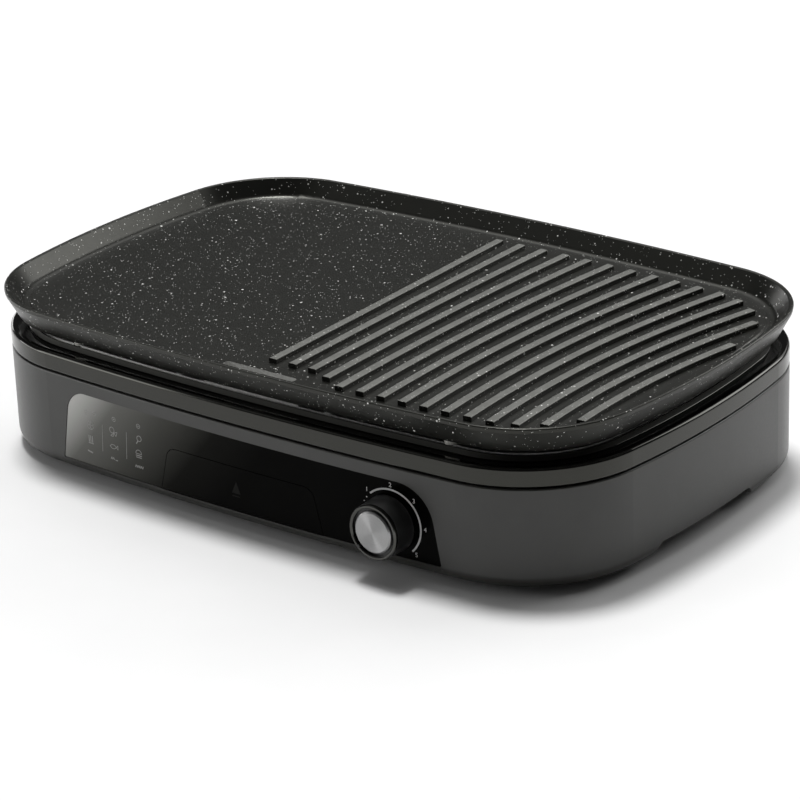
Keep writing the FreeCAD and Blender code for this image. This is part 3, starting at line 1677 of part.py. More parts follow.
def main():
    """Build and write every node."""
    os.makedirs("parts", exist_ok=True)
    export("grill_plate", grill_plate())
    export("top_frame", top_frame())
    export("body_shell", body_shell())
    export("front_panel", front_panel())
    export("drawer_front", drawer_front())
    export("drip_tray", drip_tray())
    export("drawer_front_screws", drawer_front_screws())
    export("drawer_catch", drawer_catch())
    export("drawer_bay", drawer_bay())
    export("drawer_bay_screws", bay_screws())
    export("drawer_runners", drawer_runners())
    export("latch_housing", latch_housing())
    export("latch_plunger", latch_plunger())
    export("base_plate", base_plate())
    export("rubber_feet", rubber_feet())
    export("base_screws", base_screws())
    export("frame_screws", frame_screws())
    export("reflector_pan", reflector_pan())
    export("reflector_screws", pan_screws())
    export("heating_element", heating_element())
    export("element_bushings", element_bushings())
    export("element_terminals", element_terminals())
    export("element_supports", element_supports())
    export("drain_chute", drain_chute())
    export("plate_rest_pads", plate_rest_pads())
    export("thermostat_mounting_plate", thermostat_plate_piece())
    export("thermostat_screws", thermostat_screws())
    export("thermostat_housing", thermostat_housing())
    export("thermostat_terminals", thermostat_terminals())
    export("thermostat_shaft", thermostat_shaft())
    export("knob_body", knob_body())
    export("knob_ring", knob_ring())
    export("knob_cap", knob_cap())
    export("sensor_bulb", sensor_bulb())
    export("sensor_clip", sensor_clip())
    export("capillary_tube", capillary_tube())
    export("wire_connectors", wire_connectors())
    export("terminal_block", terminal_block())
    export("terminal_screws", terminal_screws())
    export("thermal_fuse", thermal_fuse())
    export("fuse_clip", fuse_clip())
    export("earth_lug", earth_lug())
    export("earth_screw", earth_screw())
    export("live_wire", live_wire())
    export("switched_wire", switched_wire())
    export("neutral_wire", neutral_wire())
    export("fuse_wire", fuse_wire())
    export("earth_wire", earth_wire())
    export("cord_inlet_bushing", cord_inlet_bushing())
    export("panel_screws", panel_screws())
    export("knob_hub_ring", knob_hub_ring())
    export("rating_label", rating_label())


main()
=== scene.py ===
import bpy
import bmesh
import json
import math
from mathutils import Euler, Matrix, Vector


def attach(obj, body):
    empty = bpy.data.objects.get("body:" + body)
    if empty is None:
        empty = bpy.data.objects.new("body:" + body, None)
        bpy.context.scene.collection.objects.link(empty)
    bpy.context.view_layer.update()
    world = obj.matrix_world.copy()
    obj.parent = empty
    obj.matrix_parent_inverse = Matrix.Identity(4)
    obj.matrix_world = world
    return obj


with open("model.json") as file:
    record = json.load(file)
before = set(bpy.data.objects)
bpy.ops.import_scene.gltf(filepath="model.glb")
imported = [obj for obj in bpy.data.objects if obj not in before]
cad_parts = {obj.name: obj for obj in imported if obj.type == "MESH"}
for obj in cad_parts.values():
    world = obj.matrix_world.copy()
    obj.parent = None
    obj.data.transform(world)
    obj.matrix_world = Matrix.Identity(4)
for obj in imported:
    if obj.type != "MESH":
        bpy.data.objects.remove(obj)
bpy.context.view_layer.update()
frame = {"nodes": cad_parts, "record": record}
nodes = frame["nodes"]

# Sizes of the grill, in metres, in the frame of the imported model
SHIFT_Y = 0.00716
FRONT_RADIUS = 2.5
FRONT_HALF_DEPTH = 0.161
PANEL_SINK = 0.0004
KNOB_X = 0.118
KNOB_Z = 0.0335
RIB_TOP = 0.1017
INNER_WALL_FOOT = 0.08315
SLOT_HALF_LENGTH = 0.0288
SLOT_FRONT = -0.1311
SLOT_BACK = -0.1245
MM = 0.001

# The painted highlight on the ribs reaches this far below and above the height of their tops
PAINTED_HIGHLIGHT_BELOW = 0.0006
PAINTED_HIGHLIGHT_ABOVE = 0.0004

# Limits for the upward part of a face's normal: above the first, the face is a rib's top,
# below the second, it is the frame's inner wall, and below the third, the slot's wall
LEVEL_FACE = 0.72
STEEP_FACE = 0.66
UPRIGHT_FACE = 0.5

# Specks of the coating: cell, smallest and largest radius, share of cells that hold one
DUST = (0.0021, 0.00016, 0.00032, 0.75)
SMALL_SPECKS = (0.0044, 0.00034, 0.00060, 0.65)
LARGE_SPECKS = (0.0095, 0.00056, 0.00088, 0.5)

# How much higher a speck stands in the coating's grain
SPECK_HEIGHT = 0.6

# Painted reflection on the panel: its grey left end fades to black along X, and the fade leans with the
# height
PAINTED_REFLECTION_SLANT = -0.9
PAINTED_REFLECTION_DARK_END = -0.030
PAINTED_REFLECTION_GREY_END = -0.200
PAINTED_REFLECTION_STOPS = [
    (0.0, (0.0010, 0.0010, 0.0009)),
    (0.25, (0.008, 0.008, 0.007)),
    (0.5, (0.066, 0.066, 0.060)),
    (0.75, (0.15, 0.15, 0.14)),
    (0.95, (0.50, 0.50, 0.48)),
]

# Slightly warm reflections of the coating and the frame
OLIVE_SHEEN = (1.0, 1.0, 0.90, 1.0)

# Roughness that the frame's inner wall has on top of the polish
MATT_WALL = 0.5

# How far roughness wanders down and up from its middle, and up on metal
ROUGH_SPREAD = 0.05
METAL_SPREAD = 0.07

# Scale of the circular lines on the knob's disc
LATHE_LINES = 4500.0

# Sockets of the colour mix node, which are only told apart by their number
MIX_FACTOR = 0
MIX_FIRST = 6
MIX_SECOND = 7
MIX_RESULT = 2


def panel_y(x):
    """Y of the front panel's surface at x."""
    radius = FRONT_RADIUS - PANEL_SINK
    reach = math.sqrt(radius * radius - x * x)
    return -(FRONT_HALF_DEPTH - FRONT_RADIUS + reach) + SHIFT_Y


# Nodes and small parts of materials

def new_material(name):
    """Material with its node tree and its shader."""
    mat = bpy.data.materials.new(name)
    mat.use_nodes = True
    tree = mat.node_tree
    shader = tree.nodes["Principled BSDF"]
    return mat, tree, shader


def add(tree, kind, **values):
    """New node with its settings."""
    node = tree.nodes.new(kind)
    for key, value in values.items():
        setattr(node, key, value)
    return node


def object_coords(tree):
    """Position in the frame of the model."""
    coords = add(tree, "ShaderNodeTexCoord")
    return coords.outputs["Object"]


def place_and_facing(tree):
    """Position and normal in the frame of the model, each split into X, Y and Z."""
    coords = add(tree, "ShaderNodeTexCoord")
    place = add(tree, "ShaderNodeSeparateXYZ")
    tree.links.new(coords.outputs["Object"], place.inputs[0])
    facing = add(tree, "ShaderNodeSeparateXYZ")
    tree.links.new(coords.outputs["Normal"], facing.inputs[0])
    return place.outputs, facing.outputs


def noise(tree, scale, detail=3.0, rough=0.55, vector=None):
    """Noise between 0 and 1 over the position."""
    node = add(tree, "ShaderNodeTexNoise")
    node.inputs["Scale"].default_value = scale
    node.inputs["Detail"].default_value = detail
    node.inputs["Roughness"].default_value = rough
    tree.links.new(vector or object_coords(tree), node.inputs["Vector"])
    return node.outputs["Fac"]


def math_node(tree, operation, a, b):
    """Result of an operation on two inputs, each a number or a socket."""
    node = add(tree, "ShaderNodeMath", operation=operation)
    for i, value in enumerate((a, b)):
        if isinstance(value, (int, float)):
            node.inputs[i].default_value = value
        else:
            tree.links.new(value, node.inputs[i])
    return node.outputs[0]


def product(tree, first, *others):
    """Product of all inputs."""
    result = first
    for other in others:
        result = math_node(tree, "MULTIPLY", result, other)
    return result


def ramp(tree, source, stops):
    """Colour looked up along stops of place and colour."""
    node = add(tree, "ShaderNodeValToRGB")
    elements = node.color_ramp.elements
    while len(elements) < len(stops):
        elements.new(0.5)
    for element, (place, colour) in zip(elements, stops):
        element.position = place
        element.color = (*colour, 1.0)
    tree.links.new(source, node.inputs["Fac"])
    return node.outputs["Color"]


def mottled(tree, scale, dark, light, low=0.3, high=0.7):
    """Colour that wanders between two tones, reached at the low and high value of a noise."""
    return ramp(tree, noise(tree, scale), [(low, dark), (high, light)])


def map_range(tree, source, low, high):
    """Value between 0 and 1 stretched to a range."""
    node = add(tree, "ShaderNodeMapRange")
    node.inputs["To Min"].default_value = low
    node.inputs["To Max"].default_value = high
    tree.links.new(source, node.inputs["Value"])
    return node.outputs["Result"]


def mix_colour(tree, mask, first, second):
    """First colour, and the second where the mask is one."""
    mix = add(tree, "ShaderNodeMix", data_type="RGBA")
    tree.links.new(mask, mix.inputs[MIX_FACTOR])
    tree.links.new(first, mix.inputs[MIX_FIRST])
    tree.links.new(second, mix.inputs[MIX_SECOND])
    return mix.outputs[MIX_RESULT]


def set_colour(tree, shader, colour):
    """Colour of the surface from a socket."""
    tree.links.new(colour, shader.inputs["Base Color"])


def set_roughness(tree, shader, scale, low, high):
    """Roughness that wanders within a range."""
    tree.links.new(map_range(tree, noise(tree, scale), low, high), shader.inputs["Roughness"])


def bump(tree, shader, height, strength, distance):
    """Fine relief of the surface from a height."""
    node = add(tree, "ShaderNodeBump")
    node.inputs["Strength"].default_value = strength
    node.inputs["Distance"].default_value = distance
    tree.links.new(height, node.inputs["Height"])
    tree.links.new(node.outputs["Normal"], shader.inputs["Normal"])


def specks(tree, cell, low, high, share):
    """Mask of small round specks: at most one per cell, of mixed sizes, in a share of cells."""
    node = add(tree, "ShaderNodeTexVoronoi", feature="F1")
    node.inputs["Scale"].default_value = 1.0 / cell
    node.inputs["Randomness"].default_value = 1.0
    tree.links.new(object_coords(tree), node.inputs["Vector"])
    split = add(tree, "ShaderNodeSeparateColor")
    tree.links.new(node.outputs["Color"], split.inputs["Color"])
    radius = map_range(tree, split.outputs["Green"], low / cell, high / cell)
    there = math_node(tree, "LESS_THAN", split.outputs["Red"], share)
    return math_node(tree, "LESS_THAN", node.outputs["Distance"], product(tree, radius, there))


def rib_top_highlight_mask(tree):
    """Where a highlight is painted on top of a rib: by height, on faces that look up."""
    place, facing = place_and_facing(tree)
    above = math_node(tree, "GREATER_THAN", place["Z"], RIB_TOP - PAINTED_HIGHLIGHT_BELOW)
    below = math_node(tree, "LESS_THAN", place["Z"], RIB_TOP + PAINTED_HIGHLIGHT_ABOVE)
    level = math_node(tree, "GREATER_THAN", facing["Z"], LEVEL_FACE)
    return product(tree, above, below, level)


def slot_wall_highlight_mask(tree):
    """Where a highlight is painted in the drain slot cut through the plate: on its upright walls."""
    place, facing = place_and_facing(tree)
    out_x = math_node(tree, "ABSOLUTE", place["X"], 0.0)
    inside = math_node(tree, "LESS_THAN", out_x, SLOT_HALF_LENGTH)
    behind = math_node(tree, "GREATER_THAN", place["Y"], SLOT_FRONT)
    before = math_node(tree, "LESS_THAN", place["Y"], SLOT_BACK)
    upright = math_node(tree, "LESS_THAN", facing["Z"], UPRIGHT_FACE)
    return product(tree, inside, behind, before, upright)


# Materials

def nonstick():
    """Dark coating with pale specks, a painted highlight on the ribs' tops, and a painted highlight on the
    slot's walls.
    """
    mat, tree, shader = new_material("nonstick_coating")
    base = mottled(tree, 60.0, (0.0036, 0.0038, 0.0032), (0.0058, 0.0061, 0.0051), high=0.75)
    # Paler tone on the ribs' tops: a painted highlight where the tops catch the light
    rib_top_highlight = mottled(tree, 90.0, (0.120, 0.121, 0.113), (0.165, 0.167, 0.157), high=0.75)
    base = mix_colour(tree, rib_top_highlight_mask(tree), base, rib_top_highlight)
    # Pale walls of the slot: a painted highlight of the slot's edge
    slot_highlight = mottled(tree, 500.0, (0.74, 0.74, 0.72), (0.86, 0.86, 0.84), high=0.75)
    base = mix_colour(tree, slot_wall_highlight_mask(tree), base, slot_highlight)
    dust = specks(tree, *DUST)
    small = specks(tree, *SMALL_SPECKS)
    large = specks(tree, *LARGE_SPECKS)
    mask = math_node(tree, "MAXIMUM", math_node(tree, "MAXIMUM", small, large), dust)
    tint = mottled(tree, 300.0, (0.42, 0.42, 0.40), (0.90, 0.90, 0.87), 0.35, 0.65)
    set_colour(tree, shader, mix_colour(tree, mask, base, tint))
    set_roughness(tree, shader, 220.0, 0.29, 0.36)
    shader.inputs["Specular IOR Level"].default_value = 0.42
    shader.inputs["Specular Tint"].default_value = OLIVE_SHEEN
    raised = product(tree, mask, SPECK_HEIGHT)
    grain = math_node(tree, "ADD", noise(tree, 1500.0, 2.0), raised)
    bump(tree, shader, grain, 0.07, 0.00008)
    return mat


def gloss_black():
    """Polished black plastic of the frame, matt on the inner wall under the plate."""
    mat, tree, shader = new_material("gloss_black")
    place, facing = place_and_facing(tree)
    high = math_node(tree, "GREATER_THAN", place["Z"], INNER_WALL_FOOT)
    steep = math_node(tree, "LESS_THAN", facing["Z"], STEEP_FACE)
    matt = product(tree, high, steep, MATT_WALL)
    set_colour(tree, shader, mottled(tree, 25.0, (0.0022, 0.0022, 0.0021), (0.0034, 0.0033, 0.0031)))
    polish = map_range(tree, noise(tree, 90.0), 0.08, 0.14)
    tree.links.new(math_node(tree, "ADD", polish, matt), shader.inputs["Roughness"])
    shader.inputs["Specular IOR Level"].default_value = 0.5
    shader.inputs["Specular Tint"].default_value = OLIVE_SHEEN
    bump(tree, shader, noise(tree, 120.0, 1.0), 0.012, 0.0001)
    return mat


def panel_black_painted_reflection():
    """Deep black window of the panel, with a painted grey reflection over the control signs at its left
    end.
    """
    mat, tree, shader = new_material("panel_black_painted_reflection")
    place = add(tree, "ShaderNodeSeparateXYZ")
    tree.links.new(object_coords(tree), place.inputs[0])
    lean = product(tree, place.outputs["Z"], PAINTED_REFLECTION_SLANT)
    slant = math_node(tree, "ADD", place.outputs["X"], lean)
    fade = add(tree, "ShaderNodeMapRange")
    fade.inputs["From Min"].default_value = PAINTED_REFLECTION_DARK_END
    fade.inputs["From Max"].default_value = PAINTED_REFLECTION_GREY_END
    tree.links.new(slant, fade.inputs["Value"])
    # Painted reflection: grey over the panel's left end, fading to black towards the middle
    painted_reflection_colour = ramp(tree, fade.outputs["Result"], PAINTED_REFLECTION_STOPS)
    cloud = mottled(tree, 25.0, (0.0006, 0.0006, 0.0005), (0.0014, 0.0014, 0.0012))
    colour = add(tree, "ShaderNodeMix", data_type="RGBA", blend_type="ADD")
    colour.inputs[MIX_FACTOR].default_value = 1.0
    tree.links.new(painted_reflection_colour, colour.inputs[MIX_FIRST])
    tree.links.new(cloud, colour.inputs[MIX_SECOND])
    set_colour(tree, shader, colour.outputs[MIX_RESULT])
    set_roughness(tree, shader, 90.0, 0.07, 0.12)
    shader.inputs["Specular IOR Level"].default_value = 0.02
    bump(tree, shader, noise(tree, 120.0, 1.0), 0.03, 0.0001)
    return mat


def moulded(name, dark, light, rough, grain_scale=1800.0, strength=0.25):
    """Moulded plastic, rubber or ceramic with a fine grain."""
    mat, tree, shader = new_material(name)
    set_colour(tree, shader, mottled(tree, 35.0, dark, light))
    set_roughness(tree, shader, 400.0, rough - ROUGH_SPREAD, rough + ROUGH_SPREAD)
    bump(tree, shader, noise(tree, grain_scale, 2.0), strength, 0.00006)
    return mat


def metal(name, dark, light, rough, stretch=(1.0, 1.0, 1.0), scale=400.0):
    """Metal with fine lines or mottling."""
    mat, tree, shader = new_material(name)
    mapping = add(tree, "ShaderNodeMapping")
    mapping.inputs["Scale"].default_value = stretch
    tree.links.new(object_coords(tree), mapping.inputs["Vector"])
    lines = noise(tree, scale, 4.0, 0.6, mapping.outputs["Vector"])
    set_colour(tree, shader, ramp(tree, lines, [(0.3, dark), (0.7, light)]))
    polish = map_range(tree, lines, rough - ROUGH_SPREAD, rough + METAL_SPREAD)
    tree.links.new(polish, shader.inputs["Roughness"])
    shader.inputs["Metallic"].default_value = 1.0
    bump(tree, shader, lines, 0.15, 0.00003)
    return mat


def turned_metal():
    """Disc turned on a lathe: circular lines about the knob's axis."""
    mat, tree, shader = new_material("turned_aluminium")
    offset = add(tree, "ShaderNodeVectorMath", operation="SUBTRACT")
    offset.inputs[1].default_value = (KNOB_X, 0.0, KNOB_Z)
    tree.links.new(object_coords(tree), offset.inputs[0])
    flat = add(tree, "ShaderNodeVectorMath", operation="MULTIPLY")
    flat.inputs[1].default_value = (1.0, 0.0, 1.0)
    tree.links.new(offset.outputs[0], flat.inputs[0])
    length = add(tree, "ShaderNodeVectorMath", operation="LENGTH")
    tree.links.new(flat.outputs[0], length.inputs[0])
    rings = add(tree, "ShaderNodeTexNoise", noise_dimensions="1D")
    rings.inputs["Scale"].default_value = LATHE_LINES
    rings.inputs["Detail"].default_value = 2.0
    tree.links.new(length.outputs["Value"], rings.inputs["W"])
    lines = rings.outputs["Fac"]
    set_colour(tree, shader, ramp(tree, lines, [(0.3, (0.26, 0.26, 0.26)), (0.7, (0.40, 0.40, 0.40))]))
    tree.links.new(map_range(tree, lines, 0.28, 0.38), shader.inputs["Roughness"])
    shader.inputs["Metallic"].default_value = 1.0
    shader.inputs["Anisotropic"].default_value = 0.95
    shader.inputs["Anisotropic Rotation"].default_value = 0.25
    tangent = add(tree, "ShaderNodeTangent", direction_type="RADIAL", axis="Y")
    tree.links.new(tangent.outputs["Tangent"], shader.inputs["Tangent"])
    bump(tree, shader, lines, 0.3, 0.00003)
    return mat


def printed(name, dark, light):
    """Ink of the marks on the panel."""
    mat, tree, shader = new_material(name)
    set_colour(tree, shader, mottled(tree, 900.0, dark, light))
    set_roughness(tree, shader, 900.0, 0.35, 0.5)
    shader.inputs["Specular IOR Level"].default_value = 0.05
    return mat


steel = metal("rolled_steel", (0.42, 0.42, 0.41), (0.6, 0.6, 0.59), 0.3, (1.0, 14.0, 1.0))
zinc = metal("zinc_steel", (0.42, 0.42, 0.43), (0.58, 0.58, 0.58), 0.32)
heater = metal("heat_tinted_sheath", (0.10, 0.09, 0.085), (0.2, 0.185, 0.17), 0.42, scale=120.0)
copper = metal("drawn_copper", (0.5, 0.24, 0.13), (0.68, 0.36, 0.22), 0.3)
brass = metal("plain_brass", (0.52, 0.38, 0.16), (0.7, 0.54, 0.27), 0.3)
chrome = metal("dark_chrome", (0.065, 0.065, 0.060), (0.095, 0.095, 0.090), 0.2, scale=90.0)
inner = moulded("inner_plastic", (0.012, 0.012, 0.012), (0.02, 0.02, 0.02), 0.5)
ceramic = moulded("unglazed_ceramic", (0.5, 0.49, 0.45), (0.62, 0.61, 0.57), 0.6, 700.0)
sleeve = moulded("insulating_sleeve", (0.5, 0.49, 0.46), (0.6, 0.59, 0.56), 0.5)

# The look of each material slot of the record
looks = {
    "nonstick_cast": nonstick(),
    "gloss_black": gloss_black(),
    "body_plastic": moulded("body_plastic", (0.026, 0.026, 0.0235), (0.032, 0.032, 0.029), 0.34),
    "tray_plastic": moulded("tray_plastic", (0.010, 0.010, 0.010), (0.016, 0.016, 0.016), 0.4),
    "inner_plastic": inner,
    "runner_plastic": moulded("runner_plastic", (0.55, 0.55, 0.52), (0.66, 0.66, 0.63), 0.4),
    "foot_rubber": moulded("foot_rubber", (0.010, 0.010, 0.010), (0.018, 0.018, 0.018), 0.75, 900.0),
    "screw_steel": zinc,
    "sheet_steel": steel,
    "heater_sheath": heater,
    "ceramic": ceramic,
    "brass_parts": brass,
    "knob_black": moulded("knob_black", (0.008, 0.008, 0.008), (0.013, 0.013, 0.013), 0.33,
                          strength=0.12),
    "chrome_trim": chrome,
    "turned_aluminium": turned_metal(),
    "copper_tube": copper,
    "sleeve_white": sleeve,
    "wire_brown": moulded("wire_brown", (0.07, 0.03, 0.014), (0.11, 0.05, 0.022), 0.45),
    "wire_black": moulded("wire_black", (0.010, 0.010, 0.010), (0.02, 0.02, 0.02), 0.45),
    "wire_blue": moulded("wire_blue", (0.01, 0.035, 0.2), (0.018, 0.055, 0.3), 0.45),
    "wire_green": moulded("wire_green", (0.05, 0.17, 0.025), (0.08, 0.26, 0.04), 0.45),
    "inlet_rubber": moulded("inlet_rubber", (0.010, 0.010, 0.010), (0.018, 0.018, 0.018), 0.6, 900.0),
    "label": metal("blank_label", (0.4, 0.4, 0.39), (0.5, 0.5, 0.49), 0.4, scale=200.0),
}
slot_of = {s["node"]: s["material_slot"] for s in frame["record"]["subparts"]}

# Panel and drawer front share the slot of the frame's gloss but have their own deeper black, with a painted
# reflection at the panel's left end
window = panel_black_painted_reflection()
own_look = {"front_panel": window, "drawer_front": window}
for name, node in nodes.items():
    node.data.materials.clear()
    node.data.materials.append(own_look.get(name, looks[slot_of[name]]))


# Marks printed on the front panel, as flat polygons with faces, seen from the front

# A printed layer stands this far out of the panel and reaches this far into it
PRINT_RAISE = 0.00005
PRINT_SINK = 0.00003

# Size of the font for a digit of height 1
FONT_SIZE = 1.4

DIAL_RADIUS = 0.0218
DIAL_LINE = 0.0012
DIAL_START = -46.0
DIAL_END = 132.0
DIAL_NUMBERS = (("1", 133.0), ("2", 89.0), ("3", 46.0), ("4", 2.0), ("5", -44.0))
NUMBER_RADIUS = 0.0250
NUMBER_HEIGHT = 0.0030
DIAL_DOTS = (143.0, 152.0)
DOT_RADIUS = 0.00045


def print_on_panel(name, shapes, material):
    """Thin printed layer on the bowed panel from flat (x, z) polygons with faces."""
    bm = bmesh.new()
    for points, faces in shapes:
        verts = [bm.verts.new((x, panel_y(x) - PRINT_RAISE, z)) for x, z in points]
        for face in faces:
            bm.faces.new([verts[i] for i in face])
    bm.normal_update()
    front = list(bm.faces)
    for face in front:
        if face.normal.y > 0:
            face.normal_flip()
    result = bmesh.ops.extrude_face_region(bm, geom=front, use_keep_orig=True)
    moved = [v for v in result["geom"] if isinstance(v, bmesh.types.BMVert)]
    bmesh.ops.translate(bm, verts=moved, vec=(0.0, PRINT_RAISE + PRINT_SINK, 0.0))
    bmesh.ops.recalc_face_normals(bm, faces=bm.faces)
    mesh = bpy.data.meshes.new(name)
    bm.to_mesh(mesh)
    bm.free()
    mesh.materials.append(material)
    piece = bpy.data.objects.new(name, mesh)
    bpy.context.scene.collection.objects.link(piece)
    return piece


def band(cx, cz, radius, width, start, end, steps):
    """Circular band between two angles in degrees."""
    points = []
    for i in range(steps + 1):
        angle = math.radians(start + (end - start) * i / steps)
        for r in (radius - width / 2, radius + width / 2):
            points.append((cx + r * math.cos(angle), cz + r * math.sin(angle)))
    faces = [(a, a + 1, a + 3, a + 2) for a in range(0, 2 * steps, 2)]
    return points, faces


def disc(cx, cz, radius, steps):
    """Full disc as triangles about its centre."""
    points = [(cx, cz)]
    for i in range(steps):
        angle = 2 * math.pi * i / steps
        points.append((cx + radius * math.cos(angle), cz + radius * math.sin(angle)))
    faces = [(0, 1 + i, 1 + (i + 1) % steps) for i in range(steps)]
    return points, faces


def bar(x0, z0, x1, z1, width):
    """Straight stroke between two points."""
    half = width / 2 / math.hypot(x1 - x0, z1 - z0)
    nx = -(z1 - z0) * half
    nz = (x1 - x0) * half
    points = [(x0 + nx, z0 + nz), (x1 + nx, z1 + nz), (x1 - nx, z1 - nz), (x0 - nx, z0 - nz)]
    return points, [(0, 1, 2, 3)]


def digit(text, cx, cz, height):
    """Flat outline of a number, centred on a point."""
    curve = bpy.data.curves.new("digit", "FONT")
    curve.body = text
    curve.size = height * FONT_SIZE
    curve.align_x = "CENTER"
    curve.align_y = "CENTER"
    holder = bpy.data.objects.new("digit", curve)
    bpy.context.scene.collection.objects.link(holder)
    bpy.context.view_layer.update()
    mesh = bpy.data.meshes.new_from_object(holder)
    xs = [v.co.x for v in mesh.vertices]
    ys = [v.co.y for v in mesh.vertices]
    middle_x = (min(xs) + max(xs)) / 2
    middle_y = (min(ys) + max(ys)) / 2
    points = [(cx + v.co.x - middle_x, cz + v.co.y - middle_y) for v in mesh.vertices]
    faces = [tuple(p.vertices) for p in mesh.polygons]
    bpy.data.objects.remove(holder)
    bpy.data.meshes.remove(mesh)
    return points, faces


def on_dial(radius, degrees):
    """Point at a distance and an angle from the knob's axis."""
    angle = math.radians(degrees)
    return KNOB_X + radius * math.cos(angle), KNOB_Z + radius * math.sin(angle)


white_print = printed("white_print", (0.5, 0.5, 0.5), (0.62, 0.62, 0.62))
grey_print = printed("grey_print", (0.26, 0.26, 0.25), (0.34, 0.34, 0.33))
faint_print = printed("faint_print", (0.007, 0.007, 0.006), (0.011, 0.011, 0.010))

dial = [band(KNOB_X, KNOB_Z, DIAL_RADIUS, DIAL_LINE, DIAL_START, DIAL_END, 60)]
for text, degrees in DIAL_NUMBERS:
    dial.append(digit(text, *on_dial(NUMBER_RADIUS, degrees), NUMBER_HEIGHT))
for degrees in DIAL_DOTS:
    dial.append(disc(*on_dial(DIAL_RADIUS, degrees), DOT_RADIUS, 12))
dial_marks = print_on_panel("dial_marks", dial, white_print)
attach(dial_marks, "base")


# Food signs, with all lengths in millimetres

def arc(cx, cz, radius, width, start, end, steps=16):
    """Part of a ring, between two angles in degrees."""
    return band(cx * MM, cz * MM, radius * MM, width * MM, start, end, steps)


def ring(cx, cz, radius, width, steps=16):
    """Full ring."""
    return arc(cx, cz, radius, width, 0, 360, steps)


def stroke(points, width=0.45):
    """Line through points."""
    ends = [(x * MM, z * MM) for x, z in points]
    return [bar(*a, *b, width * MM) for a, b in zip(ends, ends[1:])]


def vegetables(x, z):
    """Round vegetable cut across."""
    chambers = ((-1.3, 1.2), (1.3, 1.2), (-1.3, -1.2), (1.3, -1.2))
    shapes = [ring(x + dx, z + dz, 1.25, 0.4) for dx, dz in chambers]
    return shapes + [ring(x, z, 3.0, 0.35, 24)]


def skewer(x, z):
    """Pieces side by side on a line."""
    shapes = stroke([(x - 2.2, z - 2.8), (x + 2.4, z - 2.8)], 0.6)
    for dx in (-1.5, 0.0, 1.5):
        shapes += stroke([(x + dx, z - 2.2), (x + dx, z + 2.6)], 0.8)
    return shapes


def leaves(x, z):
    """Two leaves and a round fruit."""
    shapes = [ring(x - 1.2, z + 1.2, 2.0, 0.45, 20)]
    shapes += stroke([(x + 0.4, z - 0.6), (x + 3.4, z + 0.6), (x + 2.2, z - 2.6), (x + 0.4, z - 0.6)])
    return shapes + stroke([(x + 0.4, z - 0.8), (x - 2.6, z - 2.8), (x - 0.4, z - 3.2), (x + 0.4, z - 0.8)])


def fish(x, z):
    """Fish with its tail to the right."""
    return stroke([
        (x - 3.4, z), (x - 1.8, z + 1.4), (x + 0.6, z + 1.3), (x + 2.2, z), (x + 3.6, z + 1.5),
        (x + 3.6, z - 1.5), (x + 2.2, z), (x + 0.6, z - 1.3), (x - 1.8, z - 1.4), (x - 3.4, z)])


def drumstick(x, z):
    """Round piece of meat on a bone."""
    shapes = [ring(x + 0.7, z + 1.2, 1.9, 0.5, 20)]
    return shapes + stroke([(x - 0.4, z - 0.4), (x - 1.9, z - 2.8)], 0.7)


def burger(x, z):
    """Round top of a bun over two layers."""
    shapes = [arc(x, z + 0.5, 2.5, 0.5, 0, 180)]
    shapes += stroke([(x - 2.6, z + 0.4), (x + 2.6, z + 0.4)])
    shapes += stroke([(x - 2.6, z - 0.9), (x + 2.6, z - 0.9)], 0.7)
    return shapes + stroke([(x - 2.4, z - 2.2), (x + 2.4, z - 2.2)], 0.6)


def pictograms():
    """Food signs in three columns, with lamps above, heat strokes below and dividers."""
    shapes = []
    for x, z in ((-130.7, 49.1), (-123.3, 50.0), (-105.4, 50.4), (-83.7, 50.8)):
        shapes.append(ring(x, z, 1.45, 0.4, 24))
        shapes.append(disc(x * MM, z * MM, 0.5 * MM, 12))
    for x in (-116.3, -94.7):
        shapes += stroke([(x, 44.0), (x - 1.3, 25.0)], 0.35)
    shapes += vegetables(-127.5, 41.0) + skewer(-128.0, 31.0)
    shapes += leaves(-106.6, 41.2) + fish(-107.0, 30.8)
    shapes += drumstick(-84.3, 41.0) + burger(-84.8, 31.0)
    shapes += stroke([(-131.6, 22.4), (-127.0, 21.6)], 1.0)
    shapes += stroke([(-110.4, 21.6), (-109.6, 23.2), (-108.8, 21.6), (-108.0, 23.2), (-107.2, 21.6)], 0.5)
    shapes += stroke([(-106.4, 21.6), (-104.2, 21.6)], 0.6)
    zigzag = [(-88.6 + 0.8 * i, 21.4 if i % 2 == 0 else 23.2) for i in range(10)]
    return shapes + stroke(zigzag, 0.5)


signs = print_on_panel("panel_signs", pictograms(), grey_print)
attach(signs, "base")

arrow = ([(-6.0 * MM, 24.2 * MM), (1.1 * MM, 24.2 * MM), (-2.1 * MM, 32.3 * MM)], [(0, 1, 2)])
drawer_marks = stroke([(-5.6, 22.3), (0.4, 22.3)], 0.7) + [arrow]
drawer_sign = print_on_panel("drawer_sign", drawer_marks, faint_print)
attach(drawer_sign, "drawer")


# Floor and room

FLOOR_REACH = 9
ROOM_LIGHT = 0.05
WHITE = (1.0, 1.0, 1.0, 1.0)


def floor_material():
    """Matt white floor."""
    mat, tree, shader = new_material("floor_white")
    set_colour(tree, shader, mottled(tree, 8.0, (0.79, 0.79, 0.79), (0.81, 0.81, 0.81)))
    set_roughness(tree, shader, 20.0, 0.78, 0.85)
    shader.inputs["Specular IOR Level"].default_value = 0.1
    return mat


floor_mesh = bpy.data.meshes.new("floor")
corners = [(x * FLOOR_REACH, y * FLOOR_REACH, 0) for x, y in ((-1, -1), (1, -1), (1, 1), (-1, 1))]
floor_mesh.from_pydata(corners, [], [(0, 1, 2, 3)])
floor_mesh.materials.append(floor_material())
floor = bpy.data.objects.new("floor", floor_mesh)
bpy.context.scene.collection.objects.link(floor)

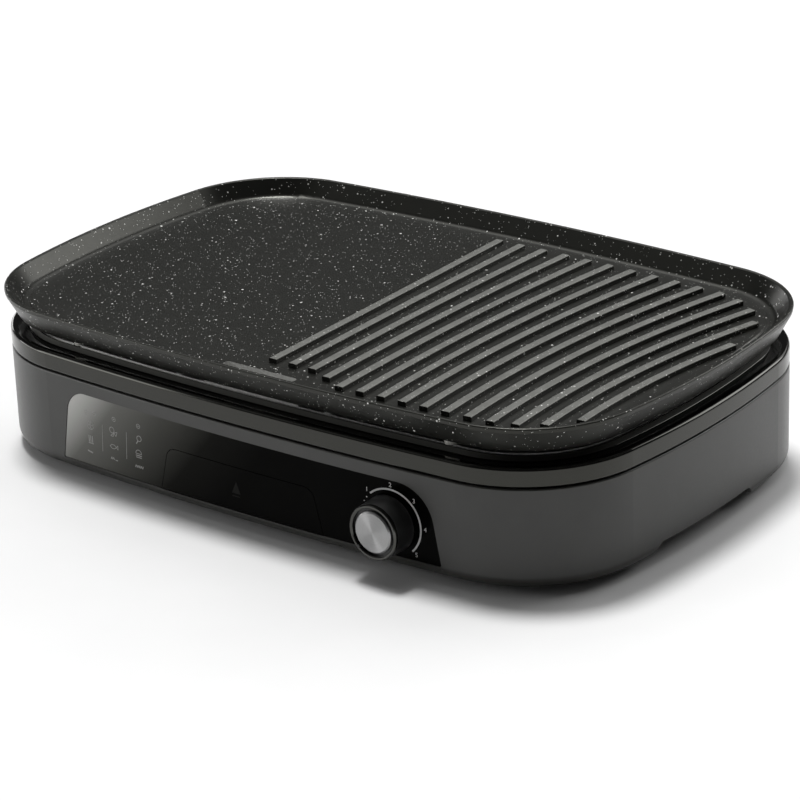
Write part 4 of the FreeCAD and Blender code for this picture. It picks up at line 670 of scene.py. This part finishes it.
# The camera sees a white backdrop, and all else gets a faint even light from the room
world = bpy.data.worlds.new("studio")
bpy.context.scene.world = world
world.use_nodes = True
world_tree = world.node_tree
room = world_tree.nodes["Background"]
room.inputs["Color"].default_value = WHITE
room.inputs["Strength"].default_value = ROOM_LIGHT
backdrop = add(world_tree, "ShaderNodeBackground")
backdrop.inputs["Color"].default_value = WHITE
backdrop.inputs["Strength"].default_value = 1.0
light_path = add(world_tree, "ShaderNodeLightPath")
pick = add(world_tree, "ShaderNodeMixShader")
world_tree.links.new(light_path.outputs["Is Camera Ray"], pick.inputs[0])
world_tree.links.new(room.outputs[0], pick.inputs[1])
world_tree.links.new(backdrop.outputs[0], pick.inputs[2])
world_tree.links.new(pick.outputs[0], world_tree.nodes["World Output"].inputs["Surface"])


# Lamps

LAMP_TARGET = (0.0, 0.0, 0.08)


def add_lamp(name, lamp, direction):
    """Lamp in the scene that shines along a direction."""
    holder = bpy.data.objects.new(name, lamp)
    holder.rotation_euler = Vector(direction).to_track_quat("-Z", "Y").to_euler()
    bpy.context.scene.collection.objects.link(holder)
    return holder


def softbox(name, place, width, height, power):
    """Rectangular lamp that faces the grill and isn't itself in the picture."""
    lamp = bpy.data.lights.new(name, "AREA")
    lamp.shape = "RECTANGLE"
    lamp.size = width
    lamp.size_y = height
    lamp.energy = power
    holder = add_lamp(name, lamp, Vector(LAMP_TARGET) - Vector(place))
    holder.location = place
    holder.visible_camera = False


def overhead(name, direction, energy, angle):
    """Soft light from far above, as from a large diffuser."""
    lamp = bpy.data.lights.new(name, "SUN")
    lamp.energy = energy
    lamp.angle = math.radians(angle)
    add_lamp(name, lamp, direction)


overhead("key", (0.20, -0.15, -1.0), 2.5, 12.5)
overhead("fill", (0.30, -0.40, -1.0), 1.1, 60.0)
softbox("lamp_back_right", (0.85, 1.70, 1.11), 1.2, 0.8, 12.5)
softbox("lamp_back", (0.12, 2.03, 1.10), 1.0, 0.8, 2.8)
softbox("lamp_left", (-1.85, -0.75, 0.18), 1.0, 0.34, 4.0)
softbox("lamp_left_back", (-1.90, 0.75, 0.32), 0.7, 0.42, 3.0)
softbox("lamp_front_left", (-0.98, -0.88, 0.28), 0.40, 0.56, 2.6)
softbox("lamp_front", (-1.2, -1.4, 1.35), 1.5, 1.0, 1.2)


# The camera stands where the photograph was taken from, turned about X, Y and Z in degrees

CAMERA_PLACE = Vector((1.21957, -1.53739 + SHIFT_Y, 0.84041))
CAMERA_TURN = (67.59544, 2.01997, 37.50533)
CAMERA_LENS = 144.7068
CAMERA_SENSOR = 36.0

camera_data = bpy.data.cameras.new("camera")
camera_data.sensor_width = CAMERA_SENSOR
camera_data.lens = CAMERA_LENS
camera_data.clip_end = 50.0
camera = bpy.data.objects.new("camera", camera_data)
turn = Euler([math.radians(angle) for angle in CAMERA_TURN])
camera.matrix_world = Matrix.LocRotScale(CAMERA_PLACE, turn, None)
bpy.context.scene.collection.objects.link(camera)
bpy.context.scene.camera = camera

bpy.context.scene.view_settings.view_transform = "Standard"
